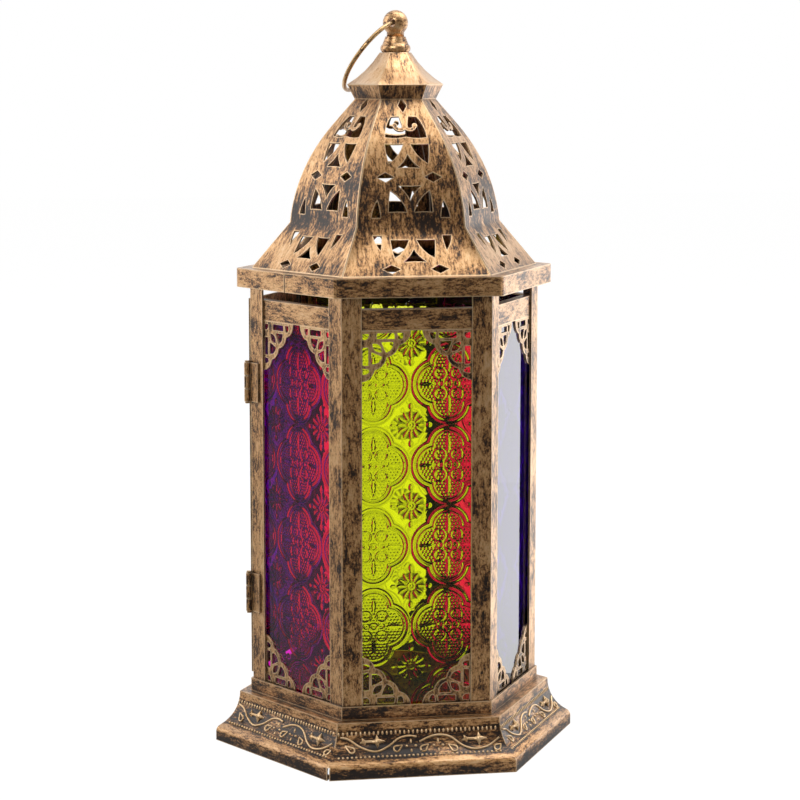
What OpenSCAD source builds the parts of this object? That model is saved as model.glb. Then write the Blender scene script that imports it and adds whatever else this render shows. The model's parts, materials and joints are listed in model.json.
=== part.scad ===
// Hexagonal candle lantern with a pierced dome roof, six coloured panes and a hinged door.
// Millimetres. Z is up, the base stands on Z = 0 and the lime front pane faces -Y.
// Face numbers run round from 0 at 30 degrees; corner numbers run round from 0 at +X.
// On a face the local axes are: out from the centre, along the face, and up.

/* [Sheet and glass] */
// Thickness of the main brass sheet
sheet_t = 0.8; // [0.6:0.1:1]
// Thickness of the thin sheet for rails, filigree and clips
trim_t = 0.6; // [0.4:0.1:0.8]
// Thickness of the pressed glass
glass_t = 3; // [2:0.5:4]
// Free air at the edges of a pane
glass_gap = 0.2; // [0.1:0.1:0.5]

/* [Base] */
// Spread of the foot past its top edge, at the corners
base_spread = 10.1; // [8:0.1:14]
// Height of the upright lip of the foot
base_lip_h = 3.7; // [3:0.1:5]
// Roll between the lip and the hollow moulding
base_roll_r = 3; // [2:0.1:3.5]
// Step at the top of the hollow moulding round the collar, at the corners
base_top_step = 4.7; // [3.5:0.1:6.5]
// Height of the base
base_h = 20.5; // [19:0.5:24]
// Turned-in hem that the base stands on
hem_w = 5; // [3:0.5:8]
// Reach of the turned-in ledge of the foot under the tray
ledge_lap = 7.3; // [4:0.1:10]
// Open slit where the base strip ends meet
seam_slit = 1; // [0.5:0.1:1.5]

/* [Tray and candle cup] */
// Centre to corner of the collar that holds the posts
collar_r = 60.5; // [58:0.5:62]
// Height of the collar above the base
collar_h = 5.4; // [4:0.2:8]
// Inside radius of the candle cup
cup_r = 19.75; // [18:0.25:21]
// Inside depth of the candle cup
cup_depth = 8.2; // [6:0.2:10]

/* [Posts and rim] */
// Width of each flange of a post
flange_w = 8; // [6:0.5:9]
// Height from the base to the underside of the rim
wall_h = 167.8; // [150:1:200]
// Height of the rim band
rim_h = 7.6; // [6:0.2:10]
// Overhang of the sharp corners of the rim band past the collar
rim_overhang = 4.9; // [4:0.1:7]
// Rounding of the corners of the rim band
rim_round = 3; // [1:0.5:5]
// Reach of the rim's shelf in over the posts, from the collar's corners
rim_shelf_lap = 10.1; // [8:0.1:12]
// Half of the lap joint slot in the rim band
lap_slit = 0.3; // [0.2:0.1:0.5]

/* [Rails and panes] */
// Height of the rail over a pane
rail_h = 8.4; // [6:0.2:10]
// Air gap between the rim and a rail
vent_h = 4.9; // [4:0.2:7]
// Depth of the rail flange over the glass
rail_flange_w = 4; // [3.6:0.2:5]
// Clear strip between a pane and the post corner
pane_margin = 3.2; // [3:0.1:4]
// Height of a pane clip
clip_h = 6; // [4:1:10]
// Reach of a clip over the back of a pane
clip_reach = 4; // [3:0.5:6]
// Height of the clips from the ends of a pane
clip_inset = 24; // [15:1:40]

/* [Filigree] */
// Length of the legs of a corner bracket
fret_leg = 19.5; // [16:0.5:20]
// Width of the scalloped edge band
fret_band = 1.4; // [1:0.1:1.8]
// Width of a rib inside a bracket
fret_rib = 1.1; // [0.8:0.1:1.4]
// Strip of a bracket tucked behind a post
fret_tuck = 3; // [2:0.5:5]

/* [Door] */
// Running gap between the door and the posts
door_gap = 0.3; // [0.2:0.05:0.4]
// Gap between the collar and the door
door_foot_gap = 2.3; // [1.5:0.1:4]
// Distance from the free edge of the door to the post corner
door_latch_space = 5.2; // [4.8:0.1:5.6]
// Width of the upright bars of the door beside its window
door_stile_w = 6.1; // [5:0.1:8]
// Height of the lower bar of the door
door_foot_bar = 5; // [4:0.5:8]
// Overlap of the door bars over the glass
door_rebate = 1.7; // [1.2:0.1:1.7]
// Width of a glass tab in the door
door_tab_w = 6; // [4:1:10]

/* [Hinges] */
// Length of a hinge
hinge_l = 16; // [12:1:20]
// Outside radius of a hinge knuckle
knuckle_r = 1.25; // [1.1:0.05:1.25]
// Radius of a hinge pin
pin_r = 0.6; // [0.5:0.05:0.65]
// Running clearance of the pins and the latch rivet
pin_fit = 0.05; // [0.02:0.01:0.08]
// Gap between knuckles along the pin
knuckle_gap = 0.25; // [0.2:0.05:0.5]
// Width of a hinge leaf
leaf_w = 5; // [4:0.5:7]
// Distance from the ends of the door to the hinges
hinge_inset = 34; // [25:1:45]
// Radius of the peened heads of a hinge pin
pin_head_r = 1; // [0.9:0.05:1.1]
// Thickness of the heads of a hinge pin
pin_head_h = 0.5; // [0.3:0.1:0.8]

/* [Latch] */
// Length of the turn button from its rivet to its tip centre
latch_l = 10; // [8:0.5:14]
// Half width of the turn button
latch_half_w = 1.5; // [1.2:0.1:1.8]
// Radius of the latch rivet
rivet_r = 1; // [0.8:0.1:1.1]
// Radius of the head and the boss of the latch rivet
rivet_head_r = 1.9; // [1.6:0.1:2]
// Thickness of the head of the latch rivet
rivet_head_h = 0.7; // [0.5:0.1:1]

/* [Roof] */
// Ledge of the rim that shows round the foot of the roof, at the corners
roof_setback = 6.5; // [5:0.1:8]
// Centre to corner at the kink between skirt and dome
kink_r = 43.3; // [41:0.1:46]
// Height of the flared skirt
skirt_h = 18.2; // [15:0.2:22]
// Radius of the bulge of the dome
dome_arc_r = 75; // [70:1:80]
// Lean of the dome at the kink
dome_lean_low = 5; // [3:0.5:8]
// Lean of the dome at the top
dome_lean_high = 37.5; // [36:0.5:39]
// Length of the straight upper stretch of the dome
dome_top_l = 13; // [10:0.5:14]
// Half of the seam between two roof panels
roof_seam = 0.1; // [0.05:0.05:0.2]

/* [Roof piercing] */
// Width of a wing-shaped opening
wing_w = 7.3; // [5:0.1:7.6]
// Height of a wing-shaped opening
wing_h = 8.4; // [6:0.2:8.8]
// Width of the small arched triangles
arch_w = 9; // [6:0.2:9.4]
// Height of the small arched triangles
arch_h = 5.8; // [4:0.2:6]
// Width of the lying diamonds
gem_w = 7; // [5:0.2:7.4]
// Height of the lying diamonds
gem_h = 4; // [3:0.2:4.4]
// Distance of the lying diamonds from the middle of a panel
gem_out = 9.5; // [8.5:0.1:10.5]
// Width of the narrow side openings
slot_w = 3.6; // [2.5:0.1:4]
// Height of the narrow side openings
slot_h = 6.8; // [4:0.2:7]
// Distance of the narrow side openings from the middle of a panel
slot_out = 13.1; // [12.6:0.1:14]
// Width of the large opening at its foot
fan_w = 16.6; // [13:0.2:17]
// Height of the large opening
fan_h = 9.8; // [9:0.2:10]
// Clear half width of metal between paired openings
web_half = 1.5; // [1.2:0.1:2]
// Radius of the two curls that hang in the large opening
curl_r = 2; // [1.6:0.1:2.2]
// Thickness of a curl
curl_t = 1.5; // [0.8:0.1:1.8]

/* [Cap and finial] */
// Overhang of the cap's neck past the top of the roof panels, at the corners
cap_neck_lap = 0.1; // [0.05:0.05:0.5]
// Overhang of the edge of the cap past its neck, at the corners
cap_edge_lap = 3; // [2:0.1:4]
// Centre to corner of the flat top of the cap
cap_top_r = 6.4; // [6.2:0.1:7]
// Height of the flared part of the cap
cap_flare_h = 5.8; // [5:0.1:7]
// Height of the pointed part of the cap
cap_point_h = 12.7; // [11:0.1:14]
// Width of the flange under the cap
cap_flange_w = 4; // [3:0.5:5]
// Hollow of the sloping sides of the cap, as a share of their length
cap_hollow_share = 0.06; // [0.02:0.01:0.08]
// Radius of the bead at the foot of the finial
bead_r = 6.1; // [5.6:0.1:6.2]
// Height of the bead
bead_h = 3.2; // [2.4:0.1:3.6]
// Radius at the top of the finial cone
cone_r = 4.1; // [3.8:0.1:4.5]
// Height of the finial cone
cone_h = 3.1; // [2.4:0.1:4.5]
// Radius of the neck under the ball
neck_r = 3.5; // [3:0.1:3.8]
// Radius of the ball
ball_r = 5.1; // [4.8:0.1:5.5]
// Height of the ball centre over the finial cone
ball_rise = 5.5; // [5.2:0.1:6.5]
// Radius of the ring hole through the ball
ball_hole_r = 1.8; // [1.7:0.1:2]
// Radius of the threaded stud under the ball
stud_r = 2; // [1.5:0.1:2.2]
// Centre to corner of the nut under the cap
nut_r = 4; // [3.5:0.1:4.5]
// Height of the nut
nut_h = 3.2; // [2.5:0.1:4]

/* [Ring handle] */
// Radius of the ring to the middle of its wire
ring_r = 17; // [15:0.5:18]
// Radius of the ring wire
wire_r = 0.9; // [0.8:0.1:1]
// Gap between the leaning ring and the edge of the cap
ring_rest_gap = 0.22; // [0.1:0.02:0.5]
// Direction of the hole through the ball
hole_turn = -120; // [-150:1:-90]

/* [Hidden] */

brass = "#9c7c49";
brass_dark = "#6e5634";
lime = [0.72, 0.85, 0.05, 0.6];
blue = [0.05, 0.1, 0.6, 0.6];
magenta = [0.75, 0.05, 0.35, 0.6];

// Overrun of every cut past the surface it leaves
over = 1;
// Number of sides, and the half angle of a face seen from the centre
sides = 6;
half = 180 / sides;
// Corners beside the door: the hinges' and the latch's
hinge_corner = 3;
latch_corner = 2;
// A face has the number of the corner that it starts from
door_face = latch_corner;
// Corner where the base strip ends meet
seam_corner = 4;

// Heights from the table up
floor_z = base_h + sheet_t;
collar_top = base_h + collar_h;
rim_z = base_h + wall_h;
roof_z = rim_z + rim_h;
kink_z = roof_z + skirt_h;
rail_z = rim_z - vent_h - rail_h;
rail_top = rim_z - vent_h;
door_z0 = collar_top + door_foot_gap;
door_z1 = rim_z - vent_h;

// Centre to corner of the foot, of its top edge, of the rim band and of the roof's foot
base_top_r = collar_r + base_top_step;
base_r = base_top_r + base_spread;
rim_r = collar_r + rim_overhang;
roof_r = rim_r - roof_setback;

// Hollow moulding: tangent to the upright top edge and to the roll over the lip
cove_drop = base_h - base_lip_h;
cove_reach = base_r - base_roll_r - base_top_r;
cove_r = (cove_reach * cove_reach + cove_drop * cove_drop - base_roll_r * base_roll_r)
    / (2 * (cove_reach + base_roll_r));
cove_end = asin(cove_drop / (cove_r + base_roll_r));

// Distances of the faces from the centre
function flat(r) = r * cos(half);
function corner(a) = a / cos(half);
post_out = flat(collar_r) - sheet_t;
ledge_r = collar_r - ledge_lap;
post_in = post_out - sheet_t;
trim_in = post_in - trim_t;
glass_in = trim_in - glass_t;
pane_half = post_in * tan(half) - pane_margin;
door_in = post_out + door_gap;
door_out = door_in + sheet_t;
door_glass_out = door_in - trim_t;
door_glass_in = door_glass_out - glass_t;
// Hinge axis: just clear of the post corner, tangent over both leaves
axis_a = door_out + door_gap / 2 + pin_fit;
axis_r = corner(axis_a);
axis_t = axis_r * sin(half);
door_edge = axis_t - knuckle_r - door_gap;
door_free = post_out * tan(half) - door_latch_space;
door_window = door_free - door_stile_w;
door_glass_half = door_window + door_rebate;
latch_t = (door_free + post_out * tan(half)) / 2 + latch_half_w / 3;
latch_in = door_out + door_gap;
latch_z = (door_z0 + door_z1) / 2;

// Roof profile: lean of the skirt, lengths along the panel and points on it
kink_a = flat(kink_r);
skirt_lean = atan((flat(roof_r) - kink_a) / skirt_h);
skirt_l = skirt_h / cos(skirt_lean);
arc_l = dome_arc_r * (dome_lean_high - dome_lean_low) * PI / 180;
roof_l = skirt_l + arc_l + dome_top_l;
function lean(s) = s < skirt_l ? skirt_lean
    : min(dome_lean_high, dome_lean_low + (s - skirt_l) / dome_arc_r * 180 / PI);
function arc_a(w) = kink_a - dome_arc_r * (cos(dome_lean_low) - cos(w));
function arc_z(w) = kink_z + dome_arc_r * (sin(w) - sin(dome_lean_low));
function past(s) = max(0, s - skirt_l - arc_l);
function on_roof(s) = s < skirt_l
    ? [flat(roof_r) - s * sin(skirt_lean), roof_z + s * cos(skirt_lean)]
    : [arc_a(lean(s)) - past(s) * sin(dome_lean_high),
       arc_z(lean(s)) + past(s) * cos(dome_lean_high)];
cap_z = on_roof(roof_l).y;
cap_neck_r = corner(on_roof(roof_l).x) + cap_neck_lap;
cap_edge_r = cap_neck_r + cap_edge_lap;
cap_top_z = cap_z + cap_flare_h + cap_point_h;
cone_top = cap_top_z + bead_h + cone_h;
ball_z = cone_top + ball_rise;
// The ring leans on the edge of the cap, so its angle follows from where that edge is
edge_drop = ball_z - cap_z - cap_flare_h;
edge_reach = sqrt(edge_drop * edge_drop + flat(cap_edge_r) * flat(cap_edge_r));
ring_lean = acos(flat(cap_edge_r) / edge_reach) - asin((wire_r + ring_rest_gap) / edge_reach);

// Rows of the piercing, as shares of the skirt and of the dome
skirt_row_shares = [0.15, 0.425, 0.56, 0.68];
dome_row_shares = [0.13, 0.184, 0.19, 0.358, 0.48, 0.537, 0.757, 0.945];
// Radius of a curl's round end, and width of the upright diamond, as shares
curl_end_share = 0.68;
top_gem_share = 0.9;
function dome_s(i) = skirt_l + (roof_l - skirt_l) * dome_row_shares[i];
function skirt_s(i) = skirt_l * skirt_row_shares[i];

// A side from p to q that bulges by a share of its length, and a closed outline of such sides
function side(p, q, bow, n) = [for (i = [0 : n - 1]) let (u = i / n, d = q - p)
    p + d * u + [d.y, -d.x] * bow * 4 * u * (1 - u)];
function outline(p, bows, n = 5) = [for (i = [0 : len(p) - 1])
    each side(p[i], p[(i + 1) % len(p)], bows[i], bows[i] == 0 ? 1 : n)];
function sized(shares, w, h) = [for (p = shares) [p.x * w, p.y * h]];

// Places its children on face k, with a flat shape drawn along the face and up
module on_face(k) {
    rotate([0, 0, half + 2 * half * k]) children();
}
module plate(k, a, t) {
    on_face(k) translate([a, 0, 0]) rotate([90, 0, 90]) linear_extrude(t) children();
}
module bar(y0, y1, z0, z1) {
    translate([y0, z0]) square([y1 - y0, z1 - z0]);
}
module mirrored() {
    children();
    mirror([1, 0]) children();
}
module hexagon(r) {
    circle(r = r, $fn = 6);
}
module soft_hexagon(r, round) {
    offset(r = round, $fn = 32) hexagon(r - corner(round));
}

// Foot: lip, roll, hollow moulding and the two turned-in flanges, mitred at six corners
module base_skirt() {
    wall = corner(sheet_t);
    cove_x = base_top_r + cove_r;
    roll_x = base_r - base_roll_r;
    cove = [for (i = [0 : 8]) let (w = 180 + cove_end * i / 8)
        [cove_x + cove_r * cos(w), base_h + cove_r * sin(w)]];
    roll = [for (i = [1 : 4]) let (w = cove_end * (1 - i / 4))
        [roll_x + base_roll_r * cos(w), base_lip_h + base_roll_r * sin(w)]];
    cove_in = [for (i = [8 : -1 : 0]) let (w = 180 + cove_end * i / 8)
        [cove_x + (cove_r + wall) * cos(w), base_h + (cove_r + wall) * sin(w)]];
    profile = concat(
        [[ledge_r, base_h]], cove, roll,
        [[base_r, 0], [base_r - hem_w, 0], [base_r - hem_w, sheet_t],
         [base_r - wall, sheet_t], [base_r - wall, base_lip_h]],
        [for (p = cove_in) if (p.y < base_h - sheet_t && p.y > base_lip_h) p],
        [[base_top_r - wall, base_h - sheet_t], [ledge_r, base_h - sheet_t]]);
    color(brass) difference() {
        rotate_extrude($fn = 6) polygon(profile);
        rotate([0, 0, 2 * half * seam_corner])
            translate([base_r - hem_w - over, -seam_slit / 2, -over])
                cube([hem_w + 2 * over, seam_slit, base_lip_h + base_roll_r / 2 + over]);
    }
}

// Pan with the upright collar that the post feet stand in
module floor_tray() {
    color(brass) union() {
        translate([0, 0, base_h]) linear_extrude(sheet_t) hexagon(collar_r);
        translate([0, 0, base_h]) linear_extrude(collar_h) difference() {
            hexagon(collar_r);
            hexagon(collar_r - corner(sheet_t));
        }
    }
}

module candle_cup() {
    color(brass_dark) translate([0, 0, floor_z]) difference() {
        cylinder(r = cup_r + trim_t, h = trim_t + cup_depth, $fn = 96);
        translate([0, 0, trim_t]) cylinder(r = cup_r, h = cup_depth + over, $fn = 96);
    }
}

// Corner post: strip folded to 120 degrees, standing in the collar and under the rim shelf
module post(c) {
    r_out = corner(post_out);
    r_in = corner(post_in);
    end_in = [r_out, 0] + flange_w * [-sin(half), cos(half)] - sheet_t * [cos(half), sin(half)];
    end_out = [r_out, 0] + flange_w * [-sin(half), cos(half)];
    color(brass) rotate([0, 0, 2 * half * c]) translate([0, 0, floor_z])
        linear_extrude(roof_z - sheet_t - floor_z)
            polygon([[r_out, 0], end_out, end_in, [r_in, 0],
                     [end_in.x, -end_in.y], [end_out.x, -end_out.y]]);
}

// Rail over a pane: an upright strip behind the posts with a flange over the glass
module rail(k) {
    color(brass) {
        plate(k, trim_in, trim_t) bar(-pane_half, pane_half, rail_z, rail_top);
        on_face(k) translate([post_in - rail_flange_w, -pane_half, rail_top - trim_t])
            cube([rail_flange_w - trim_t, 2 * pane_half, trim_t]);
    }
}

module pane(k, tint) {
    color(tint) plate(k, glass_in, glass_t)
        bar(-pane_half, pane_half, floor_z, rail_top - trim_t - glass_gap);
}

// One lacy corner bracket, drawn from the visible corner of the pane outwards
module bracket(foot) {
    leg = fret_leg;
    edge = fret_rib / 2 / leg;
    rim = fret_band / leg;
    cusp_shares = [[1, 0], [0.76, 0.265], [0.505, 0.505], [0.265, 0.76], [0, 1]];
    scallop_bow = 0.16;
    edge_points = [for (i = [0 : 3])
        each side(cusp_shares[i] * leg, cusp_shares[i + 1] * leg, scallop_bow, 5)];
    plate_points = concat(edge_points,
        [[0, leg], [-fret_tuck, leg], [-fret_tuck, -foot], [leg, -foot]]);
    tip_shares = [[0.02, 0.92 - rim], [0.02, 0.72], [0.15, 0.74], [0.165, 0.8]];
    side_shares = [[0.02, 0.66], [0.02, 0.31], [0.17 - edge, 0.31], [0.17 - edge, 0.67]];
    wing_shares = [[0.17 + edge, 0.645], [0.17 + edge, 0.4], [0.42, 0.5]];
    leaf_shares = [[0.22, 0.22], [0.41, 0.41]];
    root_shares = [[0.02, 0.03], [0.15, 0.03], [0.15, 0.1], [0.1, 0.15], [0.02, 0.15]];
    pair = [
        [tip_shares, [0, -0.05, -0.1, 0.14]],
        [side_shares, [0, 0.05, 0, 0.05]],
        [wing_shares, [0, 0.03, 0.2]]
    ];
    difference() {
        polygon(plate_points);
        for (hole = pair) {
            polygon(outline(sized(hole[0], leg, leg), hole[1], 4));
            polygon([for (p = outline(sized(hole[0], leg, leg), hole[1], 4)) [p.y, p.x]]);
        }
        polygon(outline(sized(leaf_shares, leg, leg), [0.26, 0.26], 6));
        polygon(sized(root_shares, leg, leg));
    }
}

// Four brackets in the corners of one window; foot and head are the hidden strips
module bracket_set(w, z0, z1, foot, head) {
    mirrored() {
        translate([-w, z0]) bracket(foot);
        translate([-w, z1]) mirror([0, 1]) bracket(head);
    }
}
module filigree(k) {
    w = post_out * tan(half) - flange_w;
    color(brass) plate(k, trim_in, trim_t)
        bracket_set(w, collar_top, rail_z - fret_rib / 2, collar_top - floor_z, fret_rib / 2);
}

// Clips that press the panes outwards, one at two heights in each corner
module clip(c) {
    r_back = corner(glass_in);
    web_end = corner(post_in) - trim_t / 2 * tan(half);
    reach = clip_reach * [-sin(half), cos(half)];
    out = [r_back, 0];
    in = [r_back - corner(trim_t), 0];
    left = c != latch_corner && c != hinge_corner;
    arm = [out, out + reach, out + reach - trim_t * [cos(half), sin(half)], in];
    rotate([0, 0, 2 * half * c]) linear_extrude(clip_h) {
        if (c != latch_corner) polygon([for (p = arm) [p.x, -p.y]]);
        if (c != hinge_corner) polygon(arm);
        translate([in.x, -trim_t / 2]) square([web_end - in.x, trim_t]);
    }
}
module pane_clips() {
    color(brass_dark)
        for (c = [0 : 5], z = [floor_z + clip_inset, rail_z - clip_inset - clip_h])
            translate([0, 0, z]) clip(c);
}

// Door: flat frame over the posts, pane, filigree and bent glass tabs
module door_frame() {
    color(brass) plate(door_face, door_in, sheet_t) difference() {
        bar(-door_free, door_edge, door_z0, door_z1);
        bar(-door_window, door_window, door_z0 + door_foot_bar, door_z1 - rail_h);
    }
}
module door_pane() {
    color(blue) plate(door_face, door_glass_in, glass_t)
        bar(-door_glass_half, door_glass_half, door_z0 + door_foot_bar - door_rebate,
            door_z1 - rail_h + door_rebate);
}
module door_filigree() {
    color(brass) plate(door_face, door_glass_out, trim_t)
        bracket_set(door_window, door_z0 + door_foot_bar, door_z1 - rail_h,
                    door_rebate, door_rebate);
}
module door_tabs() {
    tab_in = door_glass_in - trim_t;
    // Tabs stand just off the ends of the pane, above and below it
    low = door_z0 + door_foot_bar - door_rebate - glass_gap;
    high = door_z1 - rail_h + door_rebate + glass_gap;
    color(brass_dark) on_face(door_face)
        for (y = [-door_glass_half / 2, door_glass_half / 2]) {
            translate([tab_in, y - door_tab_w / 2, low - trim_t])
                cube([door_in - tab_in, door_tab_w, trim_t]);
            translate([tab_in, y - door_tab_w / 2, low])
                cube([trim_t, door_tab_w, clip_reach]);
            translate([tab_in, y - door_tab_w / 2, high])
                cube([door_in - tab_in, door_tab_w, trim_t]);
            translate([tab_in, y - door_tab_w / 2, high - clip_reach])
                cube([trim_t, door_tab_w, clip_reach]);
        }
}

// Hinge: the middle knuckle belongs to the post leaf, the outer two to the door leaf
knuckle_l = (hinge_l - 2 * knuckle_gap) / 3;
hinge_zs = [door_z1 - hinge_inset, door_z0 + hinge_inset];
module barrel(z0, l) {
    translate([axis_a, axis_t, z0]) cylinder(r = knuckle_r, h = l, $fn = 48);
}
module pin_bore(z) {
    translate([axis_a, axis_t, z - hinge_l / 2 - over])
        cylinder(r = pin_r + pin_fit, h = hinge_l + 2 * over, $fn = 48);
}
module post_leaf(z) {
    // Drawn on the door face and reflected across the hinge corner onto the next face
    color(brass) on_face(hinge_corner) mirror([0, 1, 0]) difference() {
        union() {
            translate([post_out, axis_t - knuckle_r - leaf_w, z - hinge_l / 2])
                cube([sheet_t, leaf_w, hinge_l]);
            translate([post_out, axis_t - knuckle_r - over, z - knuckle_l / 2])
                cube([sheet_t, knuckle_r + over, knuckle_l]);
            barrel(z - knuckle_l / 2, knuckle_l);
        }
        pin_bore(z);
    }
}
module door_leaf(z) {
    color(brass) on_face(door_face) difference() {
        union() {
            translate([door_out, door_edge - leaf_w, z - hinge_l / 2])
                cube([sheet_t, leaf_w, hinge_l]);
            for (z0 = [z - hinge_l / 2, z + hinge_l / 2 - knuckle_l]) {
                translate([door_out, door_edge - over, z0])
                    cube([sheet_t, axis_t - door_edge + over, knuckle_l]);
                barrel(z0, knuckle_l);
            }
        }
        pin_bore(z);
    }
}
module hinge_pin(z) {
    color(brass_dark) on_face(door_face) translate([axis_a, axis_t, z - hinge_l / 2]) {
        translate([0, 0, -pin_head_h - knuckle_gap])
            cylinder(r = pin_head_r, h = pin_head_h, $fn = 48);
        translate([0, 0, -knuckle_gap])
            cylinder(r = pin_r, h = hinge_l + 2 * knuckle_gap, $fn = 48);
        translate([0, 0, hinge_l + knuckle_gap])
            cylinder(r = pin_head_r, h = pin_head_h, $fn = 48);
    }
}

// Turn button: hangs beside the door when open, and lies across the door when turned
module latch_button() {
    color(brass) plate(door_face, latch_in, sheet_t) translate([-latch_t, latch_z])
        difference() {
            union() {
                circle(r = rivet_head_r, $fn = 48);
                translate([-latch_half_w, -latch_l]) square([2 * latch_half_w, latch_l]);
                translate([0, -latch_l]) circle(r = latch_half_w, $fn = 48);
            }
            circle(r = rivet_r + pin_fit, $fn = 48);
        }
}
module latch_rivet() {
    color(brass_dark) {
        plate(door_face, post_out, latch_in - pin_fit - post_out)
            translate([-latch_t, latch_z]) circle(r = rivet_head_r, $fn = 48);
        plate(door_face, latch_in - pin_fit, sheet_t + 2 * pin_fit)
            translate([-latch_t, latch_z]) circle(r = rivet_r, $fn = 48);
        plate(door_face, latch_in + sheet_t + pin_fit, rivet_head_h)
            translate([-latch_t, latch_z]) circle(r = rivet_head_r, $fn = 48);
    }
}

// Rim band with its shelf; the lap joint is a narrow slot in the middle of one side
module rim_band() {
    color(brass) difference() {
        union() {
            translate([0, 0, rim_z]) linear_extrude(rim_h) difference() {
                soft_hexagon(rim_r, rim_round);
                soft_hexagon(rim_r - corner(sheet_t), rim_round - sheet_t / 2);
            }
            translate([0, 0, roof_z - sheet_t]) linear_extrude(sheet_t) difference() {
                soft_hexagon(rim_r, rim_round);
                hexagon(collar_r - rim_shelf_lap);
            }
        }
        on_face(3) translate([flat(rim_r) - sheet_t / 2, -lap_slit, rim_z - over])
            cube([sheet_t, 2 * lap_slit, rim_h - sheet_t + over]);
    }
}

// Openings of a roof panel, each drawn flat and punched square to the sheet
module punch(s) {
    p = on_roof(s);
    translate([p.x, 0, p.y]) rotate([0, -lean(s), 0]) rotate([90, 0, 90])
        translate([0, 0, -3 * sheet_t]) linear_extrude(6 * sheet_t) children();
}
module gem(w, h) {
    polygon([[w / 2, 0], [0, h / 2], [-w / 2, 0], [0, -h / 2]]);
}
module arch(up) {
    arch_shares = [[-0.5, 0], [0.5, 0], [0, 1]];
    mirror([0, up ? 0 : 1]) polygon(outline(sized(arch_shares, arch_w, arch_h),
                                            [-0.02, -0.07, -0.07], 4));
}
module wings(up) {
    wing_shares = [[0, 1], [0.87, 0], [1, 1]];
    mirrored() translate([web_half, 0]) mirror([0, up ? 0 : 1])
        translate([0, up ? 0 : -wing_h])
            polygon(outline(sized(wing_shares, wing_w, wing_h), [0.09, 0.02, -0.02], 4));
}
module side_slots(up) {
    slot_shares = [[-0.3, 0], [0.7, 0], [0, 1]];
    mirrored() translate([slot_out, 0]) mirror([0, up ? 0 : 1])
        polygon(outline(sized(slot_shares, slot_w, slot_h), [0, 0.06, 0.02], 4));
}
module gems() {
    mirrored() translate([gem_out, 0]) gem(gem_w, gem_h);
}
// Large opening with a stem and two curls hanging from its top edge
module fan() {
    fan_shares = [[-0.5, 0], [0, 0.03], [0.5, 0], [0.31, 1], [-0.31, 1]];
    stem_shares = [[-0.11, 1.02], [-0.07, 0.62], [-0.07, 0.4], [0.07, 0.4], [0.07, 0.62], [0.11, 1.02]];
    translate([0, -fan_h / 2]) difference() {
        polygon(outline(sized(fan_shares, fan_w, fan_h), [0.06, 0.06, 0.07, 0.02, 0.07], 5));
        polygon(sized(stem_shares, fan_w, fan_h));
        mirrored() translate([curl_r, fan_h / 2 + curl_t / 2]) {
            difference() {
                circle(r = curl_r + curl_t / 2, $fn = 32);
                circle(r = curl_r - curl_t / 2, $fn = 32);
                translate([-2 * curl_r, 0]) square(4 * curl_r);
            }
            translate([curl_r, 0]) circle(r = curl_t * curl_end_share, $fn = 24);
        }
    }
}

// Pressed and pierced roof panel: flared skirt, bulging dome and straight top in one sheet
module roof_panel(k) {
    steps = 12;
    dome_leans = [for (i = [0 : steps])
        dome_lean_low + (dome_lean_high - dome_lean_low) * i / steps];
    foot = [flat(roof_r), roof_z];
    top = on_roof(roof_l);
    outer = concat([foot], [for (w = dome_leans) [arc_a(w), arc_z(w)]], [top]);
    // The inner face is the outer one moved in along the sheet's own lean
    inner = concat(
        [foot - [corner(sheet_t), 0]],
        [[kink_a - sheet_t / cos(dome_lean_low), kink_z]],
        [for (w = dome_leans) if (w > dome_lean_low)
            [arc_a(w) - sheet_t * cos(w), arc_z(w) - sheet_t * sin(w)]],
        [top - [sheet_t / cos(dome_lean_high), 0]]);
    wedge_l = 2 * roof_r;
    color(brass) on_face(k) difference() {
        intersection() {
            rotate([90, 0, 0]) translate([0, 0, -roof_r]) linear_extrude(2 * roof_r)
                polygon(concat(outer, [for (i = [len(inner) - 1 : -1 : 0]) inner[i]]));
            translate([roof_seam / sin(half), 0, roof_z - over])
                linear_extrude(cap_z - roof_z + 2 * over)
                    polygon([[0, 0], [wedge_l, -wedge_l * tan(half)],
                             [wedge_l, wedge_l * tan(half)]]);
        }
        punch(skirt_s(0)) gems();
        punch(skirt_s(1)) translate([0, -arch_h / 2]) arch(true);
        punch(skirt_s(2)) translate([0, -wing_h / 2]) wings(true);
        punch(skirt_s(3)) translate([0, slot_h / 2]) side_slots(false);
        punch(dome_s(0)) translate([0, -slot_h / 2]) side_slots(true);
        punch(dome_s(1)) translate([0, -wing_h / 2]) wings(false);
        punch(dome_s(2)) translate([0, arch_h]) arch(false);
        punch(dome_s(3)) gems();
        punch(dome_s(4)) translate([0, -arch_h / 2]) arch(true);
        punch(dome_s(5)) translate([0, -wing_h / 2]) wings(true);
        punch(dome_s(6)) fan();
        punch(dome_s(7)) gem(gem_h * top_gem_share, gem_w);
    }
}

// Cap: flared neck and hexagonal point in one pressing, with a flange over the roof panels
module cap() {
    wall = corner(sheet_t);
    edge_z = cap_z + cap_flare_h;
    color(brass) difference() {
        rotate_extrude($fn = 6) polygon(concat(
            [[0, cap_top_z], [0, cap_top_z - sheet_t]],
            side([cap_top_r - wall, cap_top_z - sheet_t], [cap_edge_r - 2 * wall, edge_z],
                 cap_hollow_share, 4),
            [[cap_edge_r - 2 * wall, edge_z], [cap_neck_r - wall, cap_z + sheet_t],
             [cap_neck_r - cap_flange_w, cap_z + sheet_t], [cap_neck_r - cap_flange_w, cap_z],
             [cap_neck_r, cap_z]],
            side([cap_edge_r, edge_z], [cap_top_r, cap_top_z], -cap_hollow_share, 4),
            [[cap_top_r, cap_top_z]]));
        translate([0, 0, cap_top_z - sheet_t - over])
            cylinder(r = stud_r + pin_fit, h = sheet_t + 2 * over, $fn = 48);
    }
}

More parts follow.
